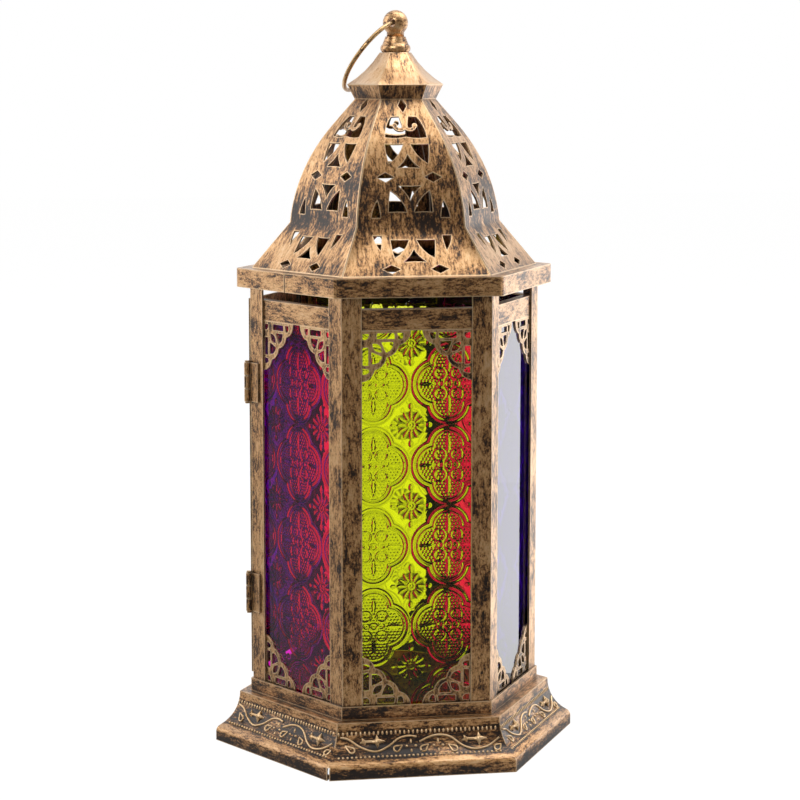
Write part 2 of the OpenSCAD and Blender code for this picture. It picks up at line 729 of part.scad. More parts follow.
module finial_collar() {
    bead = [for (i = [0 : 6]) let (w = -60 + 120 * i / 6)
        [bead_r + bead_h / 2 * (cos(w) - 1), cap_top_z + bead_h / 2 * (1 + sin(w) / sin(60))]];
    color(brass_dark) rotate_extrude($fn = 64)
        polygon(concat([[stud_r + pin_fit, cap_top_z]], bead,
                       [[cone_r, cone_top], [stud_r + pin_fit, cone_top]]));
}

// Ball with its neck and stud in one casting, drilled for the ring
module finial_ball() {
    color(brass_dark) difference() {
        union() {
            translate([0, 0, ball_z]) sphere(r = ball_r, $fn = 64);
            translate([0, 0, cone_top]) cylinder(r = neck_r, h = ball_rise, $fn = 48);
            translate([0, 0, cap_top_z - sheet_t - nut_h - sheet_t])
                cylinder(r = stud_r, h = ball_z - cap_top_z + nut_h + sheet_t, $fn = 48);
        }
        rotate([0, 0, hole_turn]) translate([0, 0, ball_z]) rotate([0, 90, 0])
            translate([0, 0, -ball_r - over])
                cylinder(r = ball_hole_r, h = 2 * (ball_r + over), $fn = 48);
    }
}
module finial_nut() {
    color(brass_dark) translate([0, 0, cap_top_z - sheet_t - nut_h]) difference() {
        cylinder(r = nut_r, h = nut_h, $fn = 6);
        translate([0, 0, -over]) cylinder(r = stud_r + pin_fit, h = nut_h + 2 * over, $fn = 48);
    }
}

// Wire ring through the ball, leaning on the cap; its middle sits half its own sag off the axis
module ring_handle() {
    sag = ball_r * ball_r / (2 * ring_r);
    color(brass_dark) translate([0, 0, ball_z]) rotate([0, 0, hole_turn])
        rotate([ring_lean, 0, 0]) translate([0, sag / 2 - ring_r, 0])
            rotate_extrude($fn = 96) translate([ring_r, 0]) circle(r = wire_r, $fn = 32);
}

base_skirt();
floor_tray();
candle_cup();
post(0);  // post_0
post(1);  // post_60
post(2);  // post_120
post(3);  // post_180
post(4);  // post_240
post(5);  // post_300
rail(0);  // rail_back_right
rail(1);  // rail_back
rail(3);  // rail_front_left
rail(4);  // rail_front
rail(5);  // rail_front_right
pane(0, magenta);  // pane_back_right
pane(1, lime);  // pane_back
pane(3, magenta);  // pane_front_left
pane(4, lime);  // pane_front
pane(5, blue);  // pane_front_right
filigree(0);  // filigree_back_right
filigree(1);  // filigree_back
filigree(3);  // filigree_front_left
filigree(4);  // filigree_front
filigree(5);  // filigree_front_right
pane_clips();
door_frame();
door_pane();
door_filigree();
door_tabs();
post_leaf(hinge_zs[0]);  // hinge_leaf_upper
post_leaf(hinge_zs[1]);  // hinge_leaf_lower
door_leaf(hinge_zs[0]);  // door_leaf_upper
door_leaf(hinge_zs[1]);  // door_leaf_lower
hinge_pin(hinge_zs[0]);  // hinge_pin_upper
hinge_pin(hinge_zs[1]);  // hinge_pin_lower
latch_button();
latch_rivet();
rim_band();
roof_panel(0);  // roof_back_right
roof_panel(1);  // roof_back
roof_panel(2);  // roof_back_left
roof_panel(3);  // roof_front_left
roof_panel(4);  // roof_front
roof_panel(5);  // roof_front_right
cap();
finial_collar();
finial_ball();
finial_nut();
ring_handle();
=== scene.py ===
# %% [markdown]
# # A candle lantern of antique brass and coloured glass
# The real object is a hexagonal lantern folded from thin brass-plated steel sheet, with six panes
# of pressed glass and a pierced dome. The CAD model gives every part its true size and place, and
# this lesson dresses it: metal with a dry-brushed finish, glass with a pressed pattern, and the
# raised ornament of the foot. Everything is in metres, in the CAD model's own frame.

# %% Load the CAD frame
import json
import math
import bmesh
import bpy
import numpy as np
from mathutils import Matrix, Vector

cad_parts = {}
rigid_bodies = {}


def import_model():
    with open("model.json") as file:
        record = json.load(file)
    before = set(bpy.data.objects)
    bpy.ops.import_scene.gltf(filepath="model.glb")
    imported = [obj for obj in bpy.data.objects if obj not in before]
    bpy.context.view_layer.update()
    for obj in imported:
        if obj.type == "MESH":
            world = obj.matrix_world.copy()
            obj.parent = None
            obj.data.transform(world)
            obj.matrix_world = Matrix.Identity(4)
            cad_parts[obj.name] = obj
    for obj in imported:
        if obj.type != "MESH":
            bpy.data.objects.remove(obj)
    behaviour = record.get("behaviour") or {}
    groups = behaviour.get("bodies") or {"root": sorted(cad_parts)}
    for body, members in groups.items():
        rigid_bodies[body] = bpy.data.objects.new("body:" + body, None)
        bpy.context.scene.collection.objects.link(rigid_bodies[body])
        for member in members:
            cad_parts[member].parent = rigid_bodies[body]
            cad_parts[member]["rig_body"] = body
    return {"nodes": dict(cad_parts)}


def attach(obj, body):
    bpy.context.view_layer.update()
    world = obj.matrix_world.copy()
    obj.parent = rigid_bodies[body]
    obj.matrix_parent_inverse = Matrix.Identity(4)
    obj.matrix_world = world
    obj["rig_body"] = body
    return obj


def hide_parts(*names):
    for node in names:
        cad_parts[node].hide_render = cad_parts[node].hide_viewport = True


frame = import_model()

bpy.context.scene.view_settings.view_transform = "Standard"
MM = 0.001
SIDES = 6
NODES = frame["nodes"]
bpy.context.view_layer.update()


def put(name, data):
    """Puts an object with this data into the scene."""
    made = bpy.data.objects.new(name, data)
    bpy.context.scene.collection.objects.link(made)
    return made


# %% [markdown]
# ## Camera
# The photograph was taken from a little left of the front pane and a little above it, with a long
# lens, so the upright edges stay almost parallel. The camera is set first, because every later
# choice of detail is judged through it. The small shift keeps the lantern as far left of the
# picture's middle as the photograph has it, without turning the camera.

# %% Camera at the photograph's place
CAMERA_PLACE = Vector((-0.1601, -0.9608, 0.2785))
CAMERA_DIP = 8.065  # degrees under the horizon
CAMERA_LENS = 107.57  # millimetres
CAMERA_SHIFT = 0.00575  # the share of the picture's width

camera = put("camera", bpy.data.cameras.new("camera"))
camera.location = CAMERA_PLACE
camera.rotation_euler = (math.radians(90 - CAMERA_DIP), 0, math.atan2(CAMERA_PLACE.x, -CAMERA_PLACE.y))
camera.data.lens = CAMERA_LENS
camera.data.shift_x = CAMERA_SHIFT
camera.data.clip_start, camera.data.clip_end = 0.05, 20
bpy.context.scene.camera = camera
print("camera", tuple(round(v, 4) for v in camera.location))

# %% [markdown]
# ## Light and floor
# A product picture like this is lit by large soft lamps inside a white sweep. Rays from the camera,
# mirror rays and rays through the glass see that sweep as plain white. The light that falls on the
# object comes at an ordinary level instead, so a colour renders about as it is written. A white
# room all round would also lie as a veil over every pane, so towards the camera and the left the
# room is dim, as it is in a studio, and the front panes keep their deep colour.

# %% Helpers for materials


def linear(code):
    """Turns an sRGB hex colour to linear RGBA."""
    values = [int(code[i:i + 2], 16) / 255 for i in (1, 3, 5)]
    return tuple(v / 12.92 if v <= 0.04045 else ((v + 0.055) / 1.055) ** 2.4 for v in values) + (1.0,)


def darker(code, share):
    """An sRGB hex colour at a share of its light, as linear RGBA."""
    return tuple(share * v for v in linear(code)[:3]) + (1.0,)


def add(tree, kind, links=None, values=None, **settings):
    """Adds a node. Links feed its inputs, from a socket or the first output of a node, and values set
    them, both by the input's name or number. Settings are the node's properties, or inputs by name."""
    node = tree.nodes.new(kind)
    for name, value in (values or {}).items():
        node.inputs[name].default_value = value
    for name, value in settings.items():
        if hasattr(node, name):
            setattr(node, name, value)
        else:
            node.inputs[name.replace("_", " ")].default_value = value
    for name, source in (links or {}).items():
        tree.links.new(getattr(source, "outputs", [source])[0], node.inputs[name])
    return node


def new_material(name):
    """An empty material with its output node."""
    made = bpy.data.materials.new(name)
    made.use_nodes = True
    made.node_tree.nodes.clear()
    return made, made.node_tree, add(made.node_tree, "ShaderNodeOutputMaterial")


print("#808080 is", round(linear("#808080")[0], 2), "of white's light")

# %% How bright the room is, seen directly
ROOM_WAY = (0.45, 0.89, 0)  # points to the bright end of the room, behind the lantern and right of it
ROOM_FRONT = 0.05  # what a mirror ray sees at the dim end
ROOM_THROUGH = 0.15  # what a ray through the glass sees there


def seen_directly(tree):
    """1 for rays that show the sweep itself: from the camera, off metal, or through glass. The second
    result is the Light Path node."""
    ray = add(tree, "ShaderNodeLightPath")
    first = add(tree, "ShaderNodeMath",
                {0: ray.outputs["Is Camera Ray"], 1: ray.outputs["Is Glossy Ray"]}, operation="MAXIMUM")
    shown = add(tree, "ShaderNodeMath",
                {0: first, 1: ray.outputs["Is Transmission Ray"]}, operation="MAXIMUM")
    return shown, ray


def room_level(tree, place, ray, dim, full):
    """White for camera rays. For others the room is dim where place, measured along ROOM_WAY, is less
    than dim, and white where it is more than full. Cycles counts a ray bent by glass as glossy too,
    so rays through the glass get their own floor under that."""
    behind = add(tree, "ShaderNodeVectorMath", {0: place}, {1: ROOM_WAY}, operation="DOT_PRODUCT")
    room = add(tree, "ShaderNodeMapRange", {"Value": behind.outputs["Value"]},
               {"From Min": dim, "From Max": full, "To Min": ROOM_FRONT, "To Max": 1.0},
               interpolation_type="SMOOTHSTEP")
    through = add(tree, "ShaderNodeMath", {0: room}, {1: ROOM_THROUGH}, operation="MAXIMUM")
    indirect = add(tree, "ShaderNodeMix", {0: ray.outputs["Is Transmission Ray"], 2: room, 3: through})
    return add(tree, "ShaderNodeMix", {0: ray.outputs["Is Glossy Ray"], 3: indirect}, {2: 1.0})


print("room in front", ROOM_FRONT, "and through glass", ROOM_THROUGH)

# %% World: a white sweep behind, a dim room in front
AMBIENT = 0.45  # the light that falls on the object from all round
SKY_DIM, SKY_FULL = -0.38, 0.35  # the shares of ROOM_WAY in a direction between which the room brightens

world = bpy.data.worlds.new("studio")
bpy.context.scene.world = world
world.use_nodes = True
sky = world.node_tree
sky.nodes.clear()
direct, ray = seen_directly(sky)
direction = add(sky, "ShaderNodeTexCoord")
plain = room_level(sky, direction.outputs["Generated"], ray, SKY_DIM, SKY_FULL)
level = add(sky, "ShaderNodeMix", {0: direct, 3: plain}, {2: AMBIENT})
backdrop = add(sky, "ShaderNodeBackground", {"Strength": level}, Color=(1, 1, 1, 1))
add(sky, "ShaderNodeOutputWorld", {"Surface": backdrop})
print("world ambient", AMBIENT)

# %% The floor
FLOOR_HALF = 4.0  # metres
FLOOR_SHARE = 0.9  # the share of the sweep's own white; the rest is paper that takes the shadow
FLOOR_GLOW = 1.06  # a little over 1, which makes up for the paper's share
FLOOR_DIM, FLOOR_FULL = -0.25, 0.3  # metres along ROOM_WAY between which the floor brightens

floor_mesh = bpy.data.meshes.new("floor")
floor_corners = [(x * FLOOR_HALF, y * FLOOR_HALF, 0) for x, y in ((-1, -1), (1, -1), (1, 1), (-1, 1))]
floor_mesh.from_pydata(floor_corners, [], [(0, 1, 2, 3)])
floor = put("floor", floor_mesh)
# Uncoated background paper: no gloss, so the floor only takes the lantern's soft shadow.
floor_mat, tree, out = new_material("matte white paper sweep")
direct, ray = seen_directly(tree)
paper = add(tree, "ShaderNodeBsdfDiffuse", Color=linear("#F4F4F2"))
place = add(tree, "ShaderNodeTexCoord").outputs["Object"]
level = room_level(tree, place, ray, FLOOR_DIM, FLOOR_FULL)
bright = add(tree, "ShaderNodeMath", {0: level}, {1: FLOOR_GLOW}, operation="MULTIPLY")
glow = add(tree, "ShaderNodeEmission", {"Strength": bright}, Color=(1, 1, 1, 1))
share = add(tree, "ShaderNodeMath", {0: direct}, {1: FLOOR_SHARE}, operation="MULTIPLY")
blend = add(tree, "ShaderNodeMixShader", {0: share, 1: paper, 2: glow})
tree.links.new(blend.outputs[0], out.inputs["Surface"])
floor_mesh.materials.append(floor_mat)
print("floor", 2 * FLOOR_HALF, "m across")

# %% [markdown]
# ## Lamps
# Brass only looks like brass if it has something bright and something dark to mirror. The lamps are
# softboxes: area lamps that the metal and the glass mirror as soft white sheets, and that the
# camera doesn't see. The right pane of the photograph is nearly white, because it mirrors a white
# card that stands beside the lantern, and the brass next to it is pale for the same reason. So a
# card stands there here too, with a light table on the floor in front of it, which the lower half
# of the pane mirrors.

# %% The lamps
LAMP_AIM = (0, 0, 0.15)  # the middle of the lantern
CARD_HEIGHT = 0.152
TABLE_PLACE, TABLE_HEIGHT, TABLE_TURN = (0.325, 0.194), 0.002, 39.5  # metres, and degrees


def softbox(name, place, aim, width, height, radiance):
    """An area lamp whose face has the given radiance, where 1 is white."""
    lamp = bpy.data.lights.new(name, "AREA")
    lamp.shape = "RECTANGLE"
    lamp.size, lamp.size_y = width, height
    lamp.energy = radiance * math.pi * width * height
    box = put(name, lamp)
    box.location = place
    box.rotation_euler = (Vector(aim) - Vector(place)).to_track_quat("-Z", "Y").to_euler()
    box.visible_camera = box.visible_transmission = False
    return box


softbox("card right", (0.517, 0.354, CARD_HEIGHT), (0.055, -0.03, CARD_HEIGHT), 0.2, 0.3, 1.75)
light_table = softbox("light table right", (*TABLE_PLACE, TABLE_HEIGHT), (*TABLE_PLACE, 1), 0.5, 0.16, 1.6)
light_table.rotation_euler = (math.pi, 0, math.radians(TABLE_TURN))  # faces up, in line with the card
softbox("softbox right, high", (0.75, 0.1, 1.15), LAMP_AIM, 0.8, 0.6, 2.4)
softbox("softbox left", (-1.0, 0.3, 0.6), LAMP_AIM, 0.5, 1.1, 1.9)
softbox("softbox front", (-0.75, -1.25, 1.0), LAMP_AIM, 0.9, 0.9, 5.0)
softbox("softbox top", (0.2, -0.1, 1.4), LAMP_AIM, 0.9, 0.9, 2.2)
print("lamps", len(bpy.data.lights))

# %% [markdown]
# ## A black flag
# Along its right edge the right pane mirrors nothing bright, and there its own deep blue shows.
# Photographers make such an edge with a flag, a strip of black velvet beside the card. Where it
# has to stand follows from the pane: the line of sight that the pane's face throws back is the
# edge of the flag, which lies along the floor and then stands up in front of the card. Only
# mirror rays see it.

# %% The flag
PANE_TURN = math.radians(-30)  # the way the right front pane faces
DARK_FROM = 0.72  # the share of the pane's width at which the dark edge begins
# In metres, counted from the pane along the thrown-back line of sight.
FLAG_NEAR, FLAG_FAR, FLAG_WIDE, FLAG_TALL, FLAG_LIFT = 0.06, 0.55, 0.03, 0.35, 0.004

facing = Vector((math.cos(PANE_TURN), math.sin(PANE_TURN), 0))
across = Vector((-math.sin(PANE_TURN), math.cos(PANE_TURN), 0))
corners = [corner.co for corner in NODES["pane_front_right"].data.vertices]
ends = [corner @ across for corner in corners]
mark = facing * max(corner @ facing for corner in corners)
mark += across * (min(ends) + DARK_FROM * (max(ends) - min(ends)))
sight = Vector((mark.x - CAMERA_PLACE.x, mark.y - CAMERA_PLACE.y, 0))
along = sight.reflect(facing).normalized()
aside = Vector((-along.y, along.x, 0)) * FLAG_WIDE
mark.z = FLAG_LIFT
near, far = mark + along * FLAG_NEAR, mark + along * FLAG_FAR
top = far + Vector((0, 0, FLAG_TALL))
flag_mesh = bpy.data.meshes.new("black flag")
flag_mesh.from_pydata([near, far, far + aside, near + aside, top, top + aside], [],
                      [(0, 1, 2, 3), (1, 4, 5, 2)])
flag = put("black flag", flag_mesh)
flag.visible_camera = flag.visible_diffuse = flag.visible_transmission = flag.visible_shadow = False
# Velvet's upright pile swallows light, so it gives no gloss at all, only a black a little above 0.
velvet, tree, out = new_material("black velvet")
cloth = add(tree, "ShaderNodeBsdfDiffuse", Color=linear("#0B0B0D"))
tree.links.new(cloth.outputs[0], out.inputs["Surface"])
flag_mesh.materials.append(velvet)
print("flag from", tuple(round(v, 3) for v in near), "to", tuple(round(v, 3) for v in top))

# %% [markdown]
# ## The metal
# The sheet is brass-plated steel, blackened, and then dry-brushed with a warm gold paste before it
# is lacquered. The brush misses the small hollows, so the dark ground shows as specks and short
# streaks, and it leaves the most gold on every edge; on top of that worn gold the edges get a
# painted highlight, and the corners get painted shade over their patina. The specks follow each
# strip, so every face corner carries a small map called grain: millimetres along the strip,
# millimetres across it, and a number for the side it lies on. A list of bands makes some belts
# darker and some paler, partly painted shade in the dome's bend, on the cap's neck and under the
# foot's ledge.

# %% Sizes of the brushed pattern
# In millimetres, along the strip and across it. The real specks go down to a fifth of a millimetre,
# which is too fine to show, so they are drawn as coarse as they need to be.
SPECK_LONG, SPECK_WIDE = 1.1, 0.6
STREAK_LONG, STREAK_WIDE = 3.8, 1.2
PATCH_LONG, PATCH_WIDE = 15.0, 9.0
STREAK_SHARE, PATCH_SHARE = 0.42, 0.3  # how much of the pattern the larger marks take over
SPECK_RAGGED, SMEAR_RAGGED = 0.95, 0.6  # how ragged the specks are, and the larger marks
SIDE_STEP = 7.3  # sets the patterns of neighbouring sides apart
EDGE_REACH, EDGE_WEAR_AND_SHEEN = 0.78 * MM, 0.3  # how far from an edge the gold is raised, as worn gold and a painted highlight, and how much
EDGE_FLAT, EDGE_SHARP = 0.9985, 0.9  # cosines of the turn that counts as flat and as a full edge
HOLLOW_REACH, HOLLOW_PATINA_AND_SHADE = 5 * MM, 0.14  # how deep a corner is darkened, as patina and painted shade, and how much
HOLLOW_CLOSED, HOLLOW_OPEN = 0.35, 0.9  # the share of open air in a full corner and on a free face
# Steps from bare ground to thick gold, counted from the level that a finish calls its cover.
BARE, THIN, MIDDLE, FULL, THICK = -0.042, -0.018, 0.004, 0.055, 0.2
THIN_GOLD, THICK_GOLD = "#54381F", "#E8C89E"
SHINE_STEP, GROUND_ROUGHER = 0.06, 0.17  # the bare ground is duller than the gold
SPECK_DEPTH, SPECK_STRENGTH = 0.15 * MM, 0.3  # the paste stands a little over the ground
PLATED, LACQUER, LACQUER_ROUGH = 0.85, 0.7, 0.32  # the metal's share, and the clear coat over it
print("specks", SPECK_LONG, "x", SPECK_WIDE, "mm, streaks", STREAK_LONG, "x", STREAK_WIDE, "mm")

# %% Where the brush misses, and where it leaves more


def banded(tree, gold, grain, bands, axis):
    """The gold less what a list of bands takes away along one axis of the grain map."""
    low, high = bands[0][0], bands[-1][0]
    parts = add(tree, "ShaderNodeSeparateXYZ", {0: grain.outputs["Vector"]})
    where = add(tree, "ShaderNodeMapRange", {"Value": parts.outputs[axis]},
                {"From Min": low, "From Max": high})
    band = add(tree, "ShaderNodeValToRGB", {"Fac": where})
    for index, (place, more) in enumerate(bands):
        at = (place - low) / (high - low)
        stops = band.color_ramp.elements
        stop = stops[index] if index < 2 else stops.new(at)
        stop.position, stop.color = at, (0.5 - more,) * 3 + (1,)
    moved = add(tree, "ShaderNodeMath", {0: gold, 1: band.outputs["Color"]}, operation="ADD")
    return add(tree, "ShaderNodeMath", {0: moved}, {1: 0.5}, operation="SUBTRACT")


def edge_wear_and_sheen_hollow_shade(tree, gold):
    """The gold with more on every edge, worn gold and a painted highlight, and less in every corner, patina
    and painted shade.
    """
    rounded = add(tree, "ShaderNodeBevel", values={"Radius": EDGE_REACH}, samples=6)
    surface = add(tree, "ShaderNodeNewGeometry")
    bend = add(tree, "ShaderNodeVectorMath", {0: rounded, 1: surface.outputs["Normal"]},
               operation="DOT_PRODUCT")
    edge = add(tree, "ShaderNodeMapRange", {"Value": bend.outputs["Value"]},
               {"From Min": EDGE_FLAT, "From Max": EDGE_SHARP, "To Max": EDGE_WEAR_AND_SHEEN})
    more = add(tree, "ShaderNodeMath", {0: gold, 1: edge}, operation="ADD")
    hollow = add(tree, "ShaderNodeAmbientOcclusion", values={"Distance": HOLLOW_REACH}, samples=4)
    shade = add(tree, "ShaderNodeMapRange", {"Value": hollow.outputs["AO"]},
                {"From Min": HOLLOW_CLOSED, "From Max": HOLLOW_OPEN, "To Min": -HOLLOW_PATINA_AND_SHADE, "To Max": 0.0})
    return add(tree, "ShaderNodeMath", {0: more, 1: shade}, operation="ADD")


print("edges are found within", EDGE_REACH / MM, "mm, hollows within", HOLLOW_REACH / MM, "mm")

# %% Brass, dry-brushed along the strip


def brass(name, bright, middle, dark, cover=0.5, rough=0.38, bands=None, axis="X", round_part=False):
    """Antique brass. Cover is the share left dark. Bands lists (millimetres, more dark) pairs along
    one axis of the grain map. A round part has no edges and corners to find."""
    made, tree, out = new_material(name)
    grain = add(tree, "ShaderNodeAttribute", attribute_name="grain", attribute_type="GEOMETRY")

    def noise(along, across, roughness):
        """Noise drawn out along the strip; along and across are sizes in millimetres."""
        sized = add(tree, "ShaderNodeVectorMath", {0: grain.outputs["Vector"]},
                    {1: (1 / along, 1 / across, SIDE_STEP)}, operation="MULTIPLY")
        return add(tree, "ShaderNodeTexNoise", {"Vector": sized}, Scale=1.0, Detail=3.0,
                   Roughness=roughness).outputs["Fac"]

    specks = noise(SPECK_LONG, SPECK_WIDE, SPECK_RAGGED)
    streaks = noise(STREAK_LONG, STREAK_WIDE, SMEAR_RAGGED)
    patches = noise(PATCH_LONG, PATCH_WIDE, SMEAR_RAGGED)
    small = add(tree, "ShaderNodeMix", {2: specks, 3: streaks}, {0: STREAK_SHARE})
    gold = add(tree, "ShaderNodeMix", {2: small, 3: patches}, {0: PATCH_SHARE})
    # Darker and paler belts from a list; in the dome's bend, on the cap's neck and under the foot's ledge
    # they are partly painted shade.
    if bands:
        gold = banded(tree, gold, grain, bands, axis)
    # Edges get worn gold and a painted highlight, corners patina and painted shade.
    if not round_part:
        gold = edge_wear_and_sheen_hollow_shade(tree, gold)
    tone = add(tree, "ShaderNodeValToRGB", {"Fac": gold})
    ramp = tone.color_ramp
    ramp.elements[0].position, ramp.elements[0].color = cover + BARE, linear(dark)
    ramp.elements[1].position, ramp.elements[1].color = cover + THICK, linear(THICK_GOLD)
    for step, colour in ((THIN, THIN_GOLD), (MIDDLE, middle), (FULL, bright)):
        ramp.elements.new(cover + step).color = linear(colour)
    shine = add(tree, "ShaderNodeMapRange", {"Value": gold},
                {"From Min": cover - SHINE_STEP, "From Max": cover + SHINE_STEP,
                 "To Min": rough + GROUND_ROUGHER, "To Max": rough})
    relief = add(tree, "ShaderNodeBump", {"Height": gold},
                 {"Strength": SPECK_STRENGTH, "Distance": SPECK_DEPTH})
    metal = add(tree, "ShaderNodeBsdfPrincipled",
                {"Base Color": tone.outputs["Color"], "Roughness": shine, "Normal": relief},
                {"Metallic": PLATED, "Coat Weight": LACQUER, "Coat Roughness": LACQUER_ROUGH})
    tree.links.new(metal.outputs[0], out.inputs["Surface"])
    return made


print("brass ramp stops at", (BARE, THIN, MIDDLE, FULL, THICK), "from the cover")

# %% The finishes
GOLD, TAN, GROUND = "#D4A26A", "#96673A", "#261A12"
# Height in millimetres and how much darker: a dark belt at the dome's bend, patina in the crease with
# painted shade, and pale skirt and top.
ROOF_PATINA_AND_SHADE_BANDS = ((196, -0.01), (204, -0.05), (209, 0.0), (214, 0.045), (222, 0.04), (232, 0.015),
              (243, -0.02), (262, -0.02))
# Height less the distance from the middle: a dark hem, a roll worn bright, a dark hollow of patina with
# painted shade at its top under the ledge, and a ledge worn bright.
FOOT_BANDS = ((-65.5, 0.02), (-61.5, 0.025), (-60, -0.035), (-56.5, -0.03), (-54.8, 0.045),
              (-39.6, 0.045), (-38.6, -0.01), (-34, -0.04))
# The neck is darker with painted shade under the cap, and its sloping roof is paler.
CAP_SHADE_BANDS = ((262, 0.0), (264, 0.03), (268.5, 0.03), (269.5, -0.06), (273, -0.05), (290, -0.01))

# Flat folded plate: half gold, half dark specks, with a line of bright gold on every fold, worn gold and a
# painted highlight.
sheet_brass = brass("dry-brushed antique brass plate", GOLD, TAN, GROUND, 0.475)
# Pressed plate: the dome's bend is darker, patina in the crease with painted shade, and the skirt and top
# paler.
roof_brass = brass("dry-brushed antique brass plate, pressed roof", GOLD, TAN, GROUND, 0.49,
                   bands=ROOF_PATINA_AND_SHADE_BANDS)
# Drawn strip: duller, because the wheels that pattern it leave a matte skin.
foot_brass = brass("dry-brushed antique brass plate, drawn foot", GOLD, TAN, GROUND, 0.49, rough=0.5,
                   axis="Y", bands=FOOT_BANDS)
# Pressed cap: the palest plate, with painted shade on its neck and a paler slope.
cap_brass = brass("dry-brushed antique brass plate, cap", GOLD, TAN, GROUND, 0.46, bands=CAP_SHADE_BANDS)
# Lacework cut from thin sheet: narrow bars are nearly all edge, with its worn gold and painted highlight,
# so they look paler than the plate.
trim_brass = brass("dry-brushed antique brass, cut trim", "#D6A870", "#A07444", GROUND, 0.475)
# Turned and drawn pieces: the brush reaches all of a round surface, so they shine more evenly.
cast_brass = brass("antique brass, turned", GOLD, TAN, GROUND, 0.45, 0.34, round_part=True)
# Drawn wire and pins: smooth and a little yellower, with a thin dark skin left in places.
wire_brass = brass("antique brass wire", "#C79C60", "#8A673F", "#2B2118", 0.43, 0.34, round_part=True)
print("finishes of brass", sum("brass" in made.name for made in bpy.data.materials))

# %% The grain map
FACE_TURN = math.radians(360 / SIDES)
NEARLY_FLAT = 0.3  # a face whose normal leans outwards less than this lies flat


def arrays(mesh):
    """The mesh's points in millimetres, each corner's point, and each face's normal, centre and size."""
    def read(source, name, width, kind=np.float32):
        values = np.empty(len(source) * width, kind)
        source.foreach_get(name, values)
        return values.reshape(-1, width) if width > 1 else values

    return (read(mesh.vertices, "co", 3) / MM, read(mesh.loops, "vertex_index", 1, np.int32),
            read(mesh.polygons, "normal", 3), read(mesh.polygons, "center", 3) / MM,
            read(mesh.polygons, "loop_total", 1, np.int32))


def grain_map(mesh, upright):
    """Millimetres along the strip, millimetres across it, and the side's number, at each corner."""
    spots, index, normals, centres, sizes = arrays(mesh)
    flat = np.linalg.norm(normals[:, :2], axis=1) < NEARLY_FLAT
    way = np.where(flat, np.arctan2(centres[:, 1], centres[:, 0]), np.arctan2(normals[:, 1], normals[:, 0]))
    side = np.round((way - FACE_TURN / 2) / FACE_TURN)
    turn = np.repeat(side * FACE_TURN + FACE_TURN / 2, sizes)
    place = spots[index]
    sideways = -place[:, 0] * np.sin(turn) + place[:, 1] * np.cos(turn)
    outwards = place[:, 0] * np.cos(turn) + place[:, 1] * np.sin(turn)
    pair = (place[:, 2], sideways) if upright else (sideways, place[:, 2] - outwards)
    values = np.stack([pair[0], pair[1], np.repeat(side, sizes)], axis=1).astype(np.float32)
    mesh.attributes.new("grain", "FLOAT_VECTOR", "CORNER").data.foreach_set("vector", values.ravel())


print("sides", SIDES, "of", round(math.degrees(FACE_TURN)), "degrees")

# %% [markdown]
# ## The dome's smooth sweep
# The dome is pressed in one smooth sweep, but the CAD panel is made of flat rows. Shade Smooth can't
# help, because the pierced facets share no tidy edges. So the rows are measured, and each corner
# gets a normal that is worked out from its height, between the tilts of the rows below and above.

# %% Normals for the roof panels
ALONG_PANEL = 0.03  # a face of the sheet itself faces sideways less than this
LEAST_TILT, MOST_TILT = 1, 75  # degrees; steeper or flatter faces are cut edges
LEAST_ROW, WIDE_ROW = 0.8, 8  # millimetres; a wide row stays flat but for its ends
ROW_START, ROW_EASE = 1, 2.0


def panel_rows(leaning, sheet, low, high):
    """The rows of one side of a panel: bottom, top and tilt, from the lowest up."""
    rows = {}
    for tilt, bottom, top in zip(np.round(leaning[sheet], 1), low[sheet], high[sheet]):
        row = rows.setdefault(round(float(tilt) * 2) / 2, [bottom, top])
        row[0], row[1] = min(row[0], bottom), max(row[1], top)
    return sorted((bottom, top, tilt) for tilt, (bottom, top) in rows.items() if top - bottom > LEAST_ROW)


def swept_normals(mesh):
    """Gives the outside and inside of a pressed roof panel normals that change evenly with height."""
    spots, index, normals, centres, sizes = arrays(mesh)
    middle = centres.mean(axis=0)
    turn = math.atan2(middle[1], middle[0])
    out = np.array((math.cos(turn), math.sin(turn), 0.0))
    along = np.array((-math.sin(turn), math.cos(turn), 0.0))
    tilt = np.degrees(np.arctan2(normals[:, 2], normals @ out))
    heights = spots[index][:, 2]
    starts = np.concatenate([[0], np.cumsum(sizes)[:-1]])
    low, high = np.minimum.reduceat(heights, starts), np.maximum.reduceat(heights, starts)
    level = np.abs(normals @ along) < ALONG_PANEL
    wanted = normals.repeat(sizes, axis=0).astype(np.float64)
    for inner in (False, True):
        leaning = (tilt + 360) % 360 - 180 if inner else tilt
        sheet = level & (leaning > LEAST_TILT) & (leaning < MOST_TILT)
        rows = panel_rows(leaning, sheet, low, high)
        knots, tilts = [], []
        for bottom, top, lean in rows:
            ease = min(ROW_EASE, (top - bottom) / 2)
            narrow = top - bottom < WIDE_ROW
            knots += [(bottom + top) / 2] if narrow else [bottom + ROW_START, top - ease * 2]
            tilts += [lean] if narrow else [lean, lean]
        order = np.argsort(knots)
        lean = np.radians(np.interp(heights, np.array(knots)[order], np.array(tilts)[order]))
        swept = np.cos(lean)[:, None] * out + np.sin(lean)[:, None] * np.array((0, 0, 1.0))
        chosen = np.repeat(sheet, sizes)
        wanted[chosen] = (-swept if inner else swept)[chosen]
    mesh.normals_split_custom_set(wanted.tolist())
    return len(rows)


print("rows over", WIDE_ROW, "mm stay flat, those under", LEAST_ROW, "mm are left out")

# %% [markdown]
# ## Dressing the metal parts
# The CAD parts already have the right shapes, so each metal part is copied, its loose triangles are
# joined, and the copy stands for the part with its finish and its grain map. A part folded or cut
# from flat sheet is shaded flat, and a drawn or turned one smooth, up to its sharp edges.

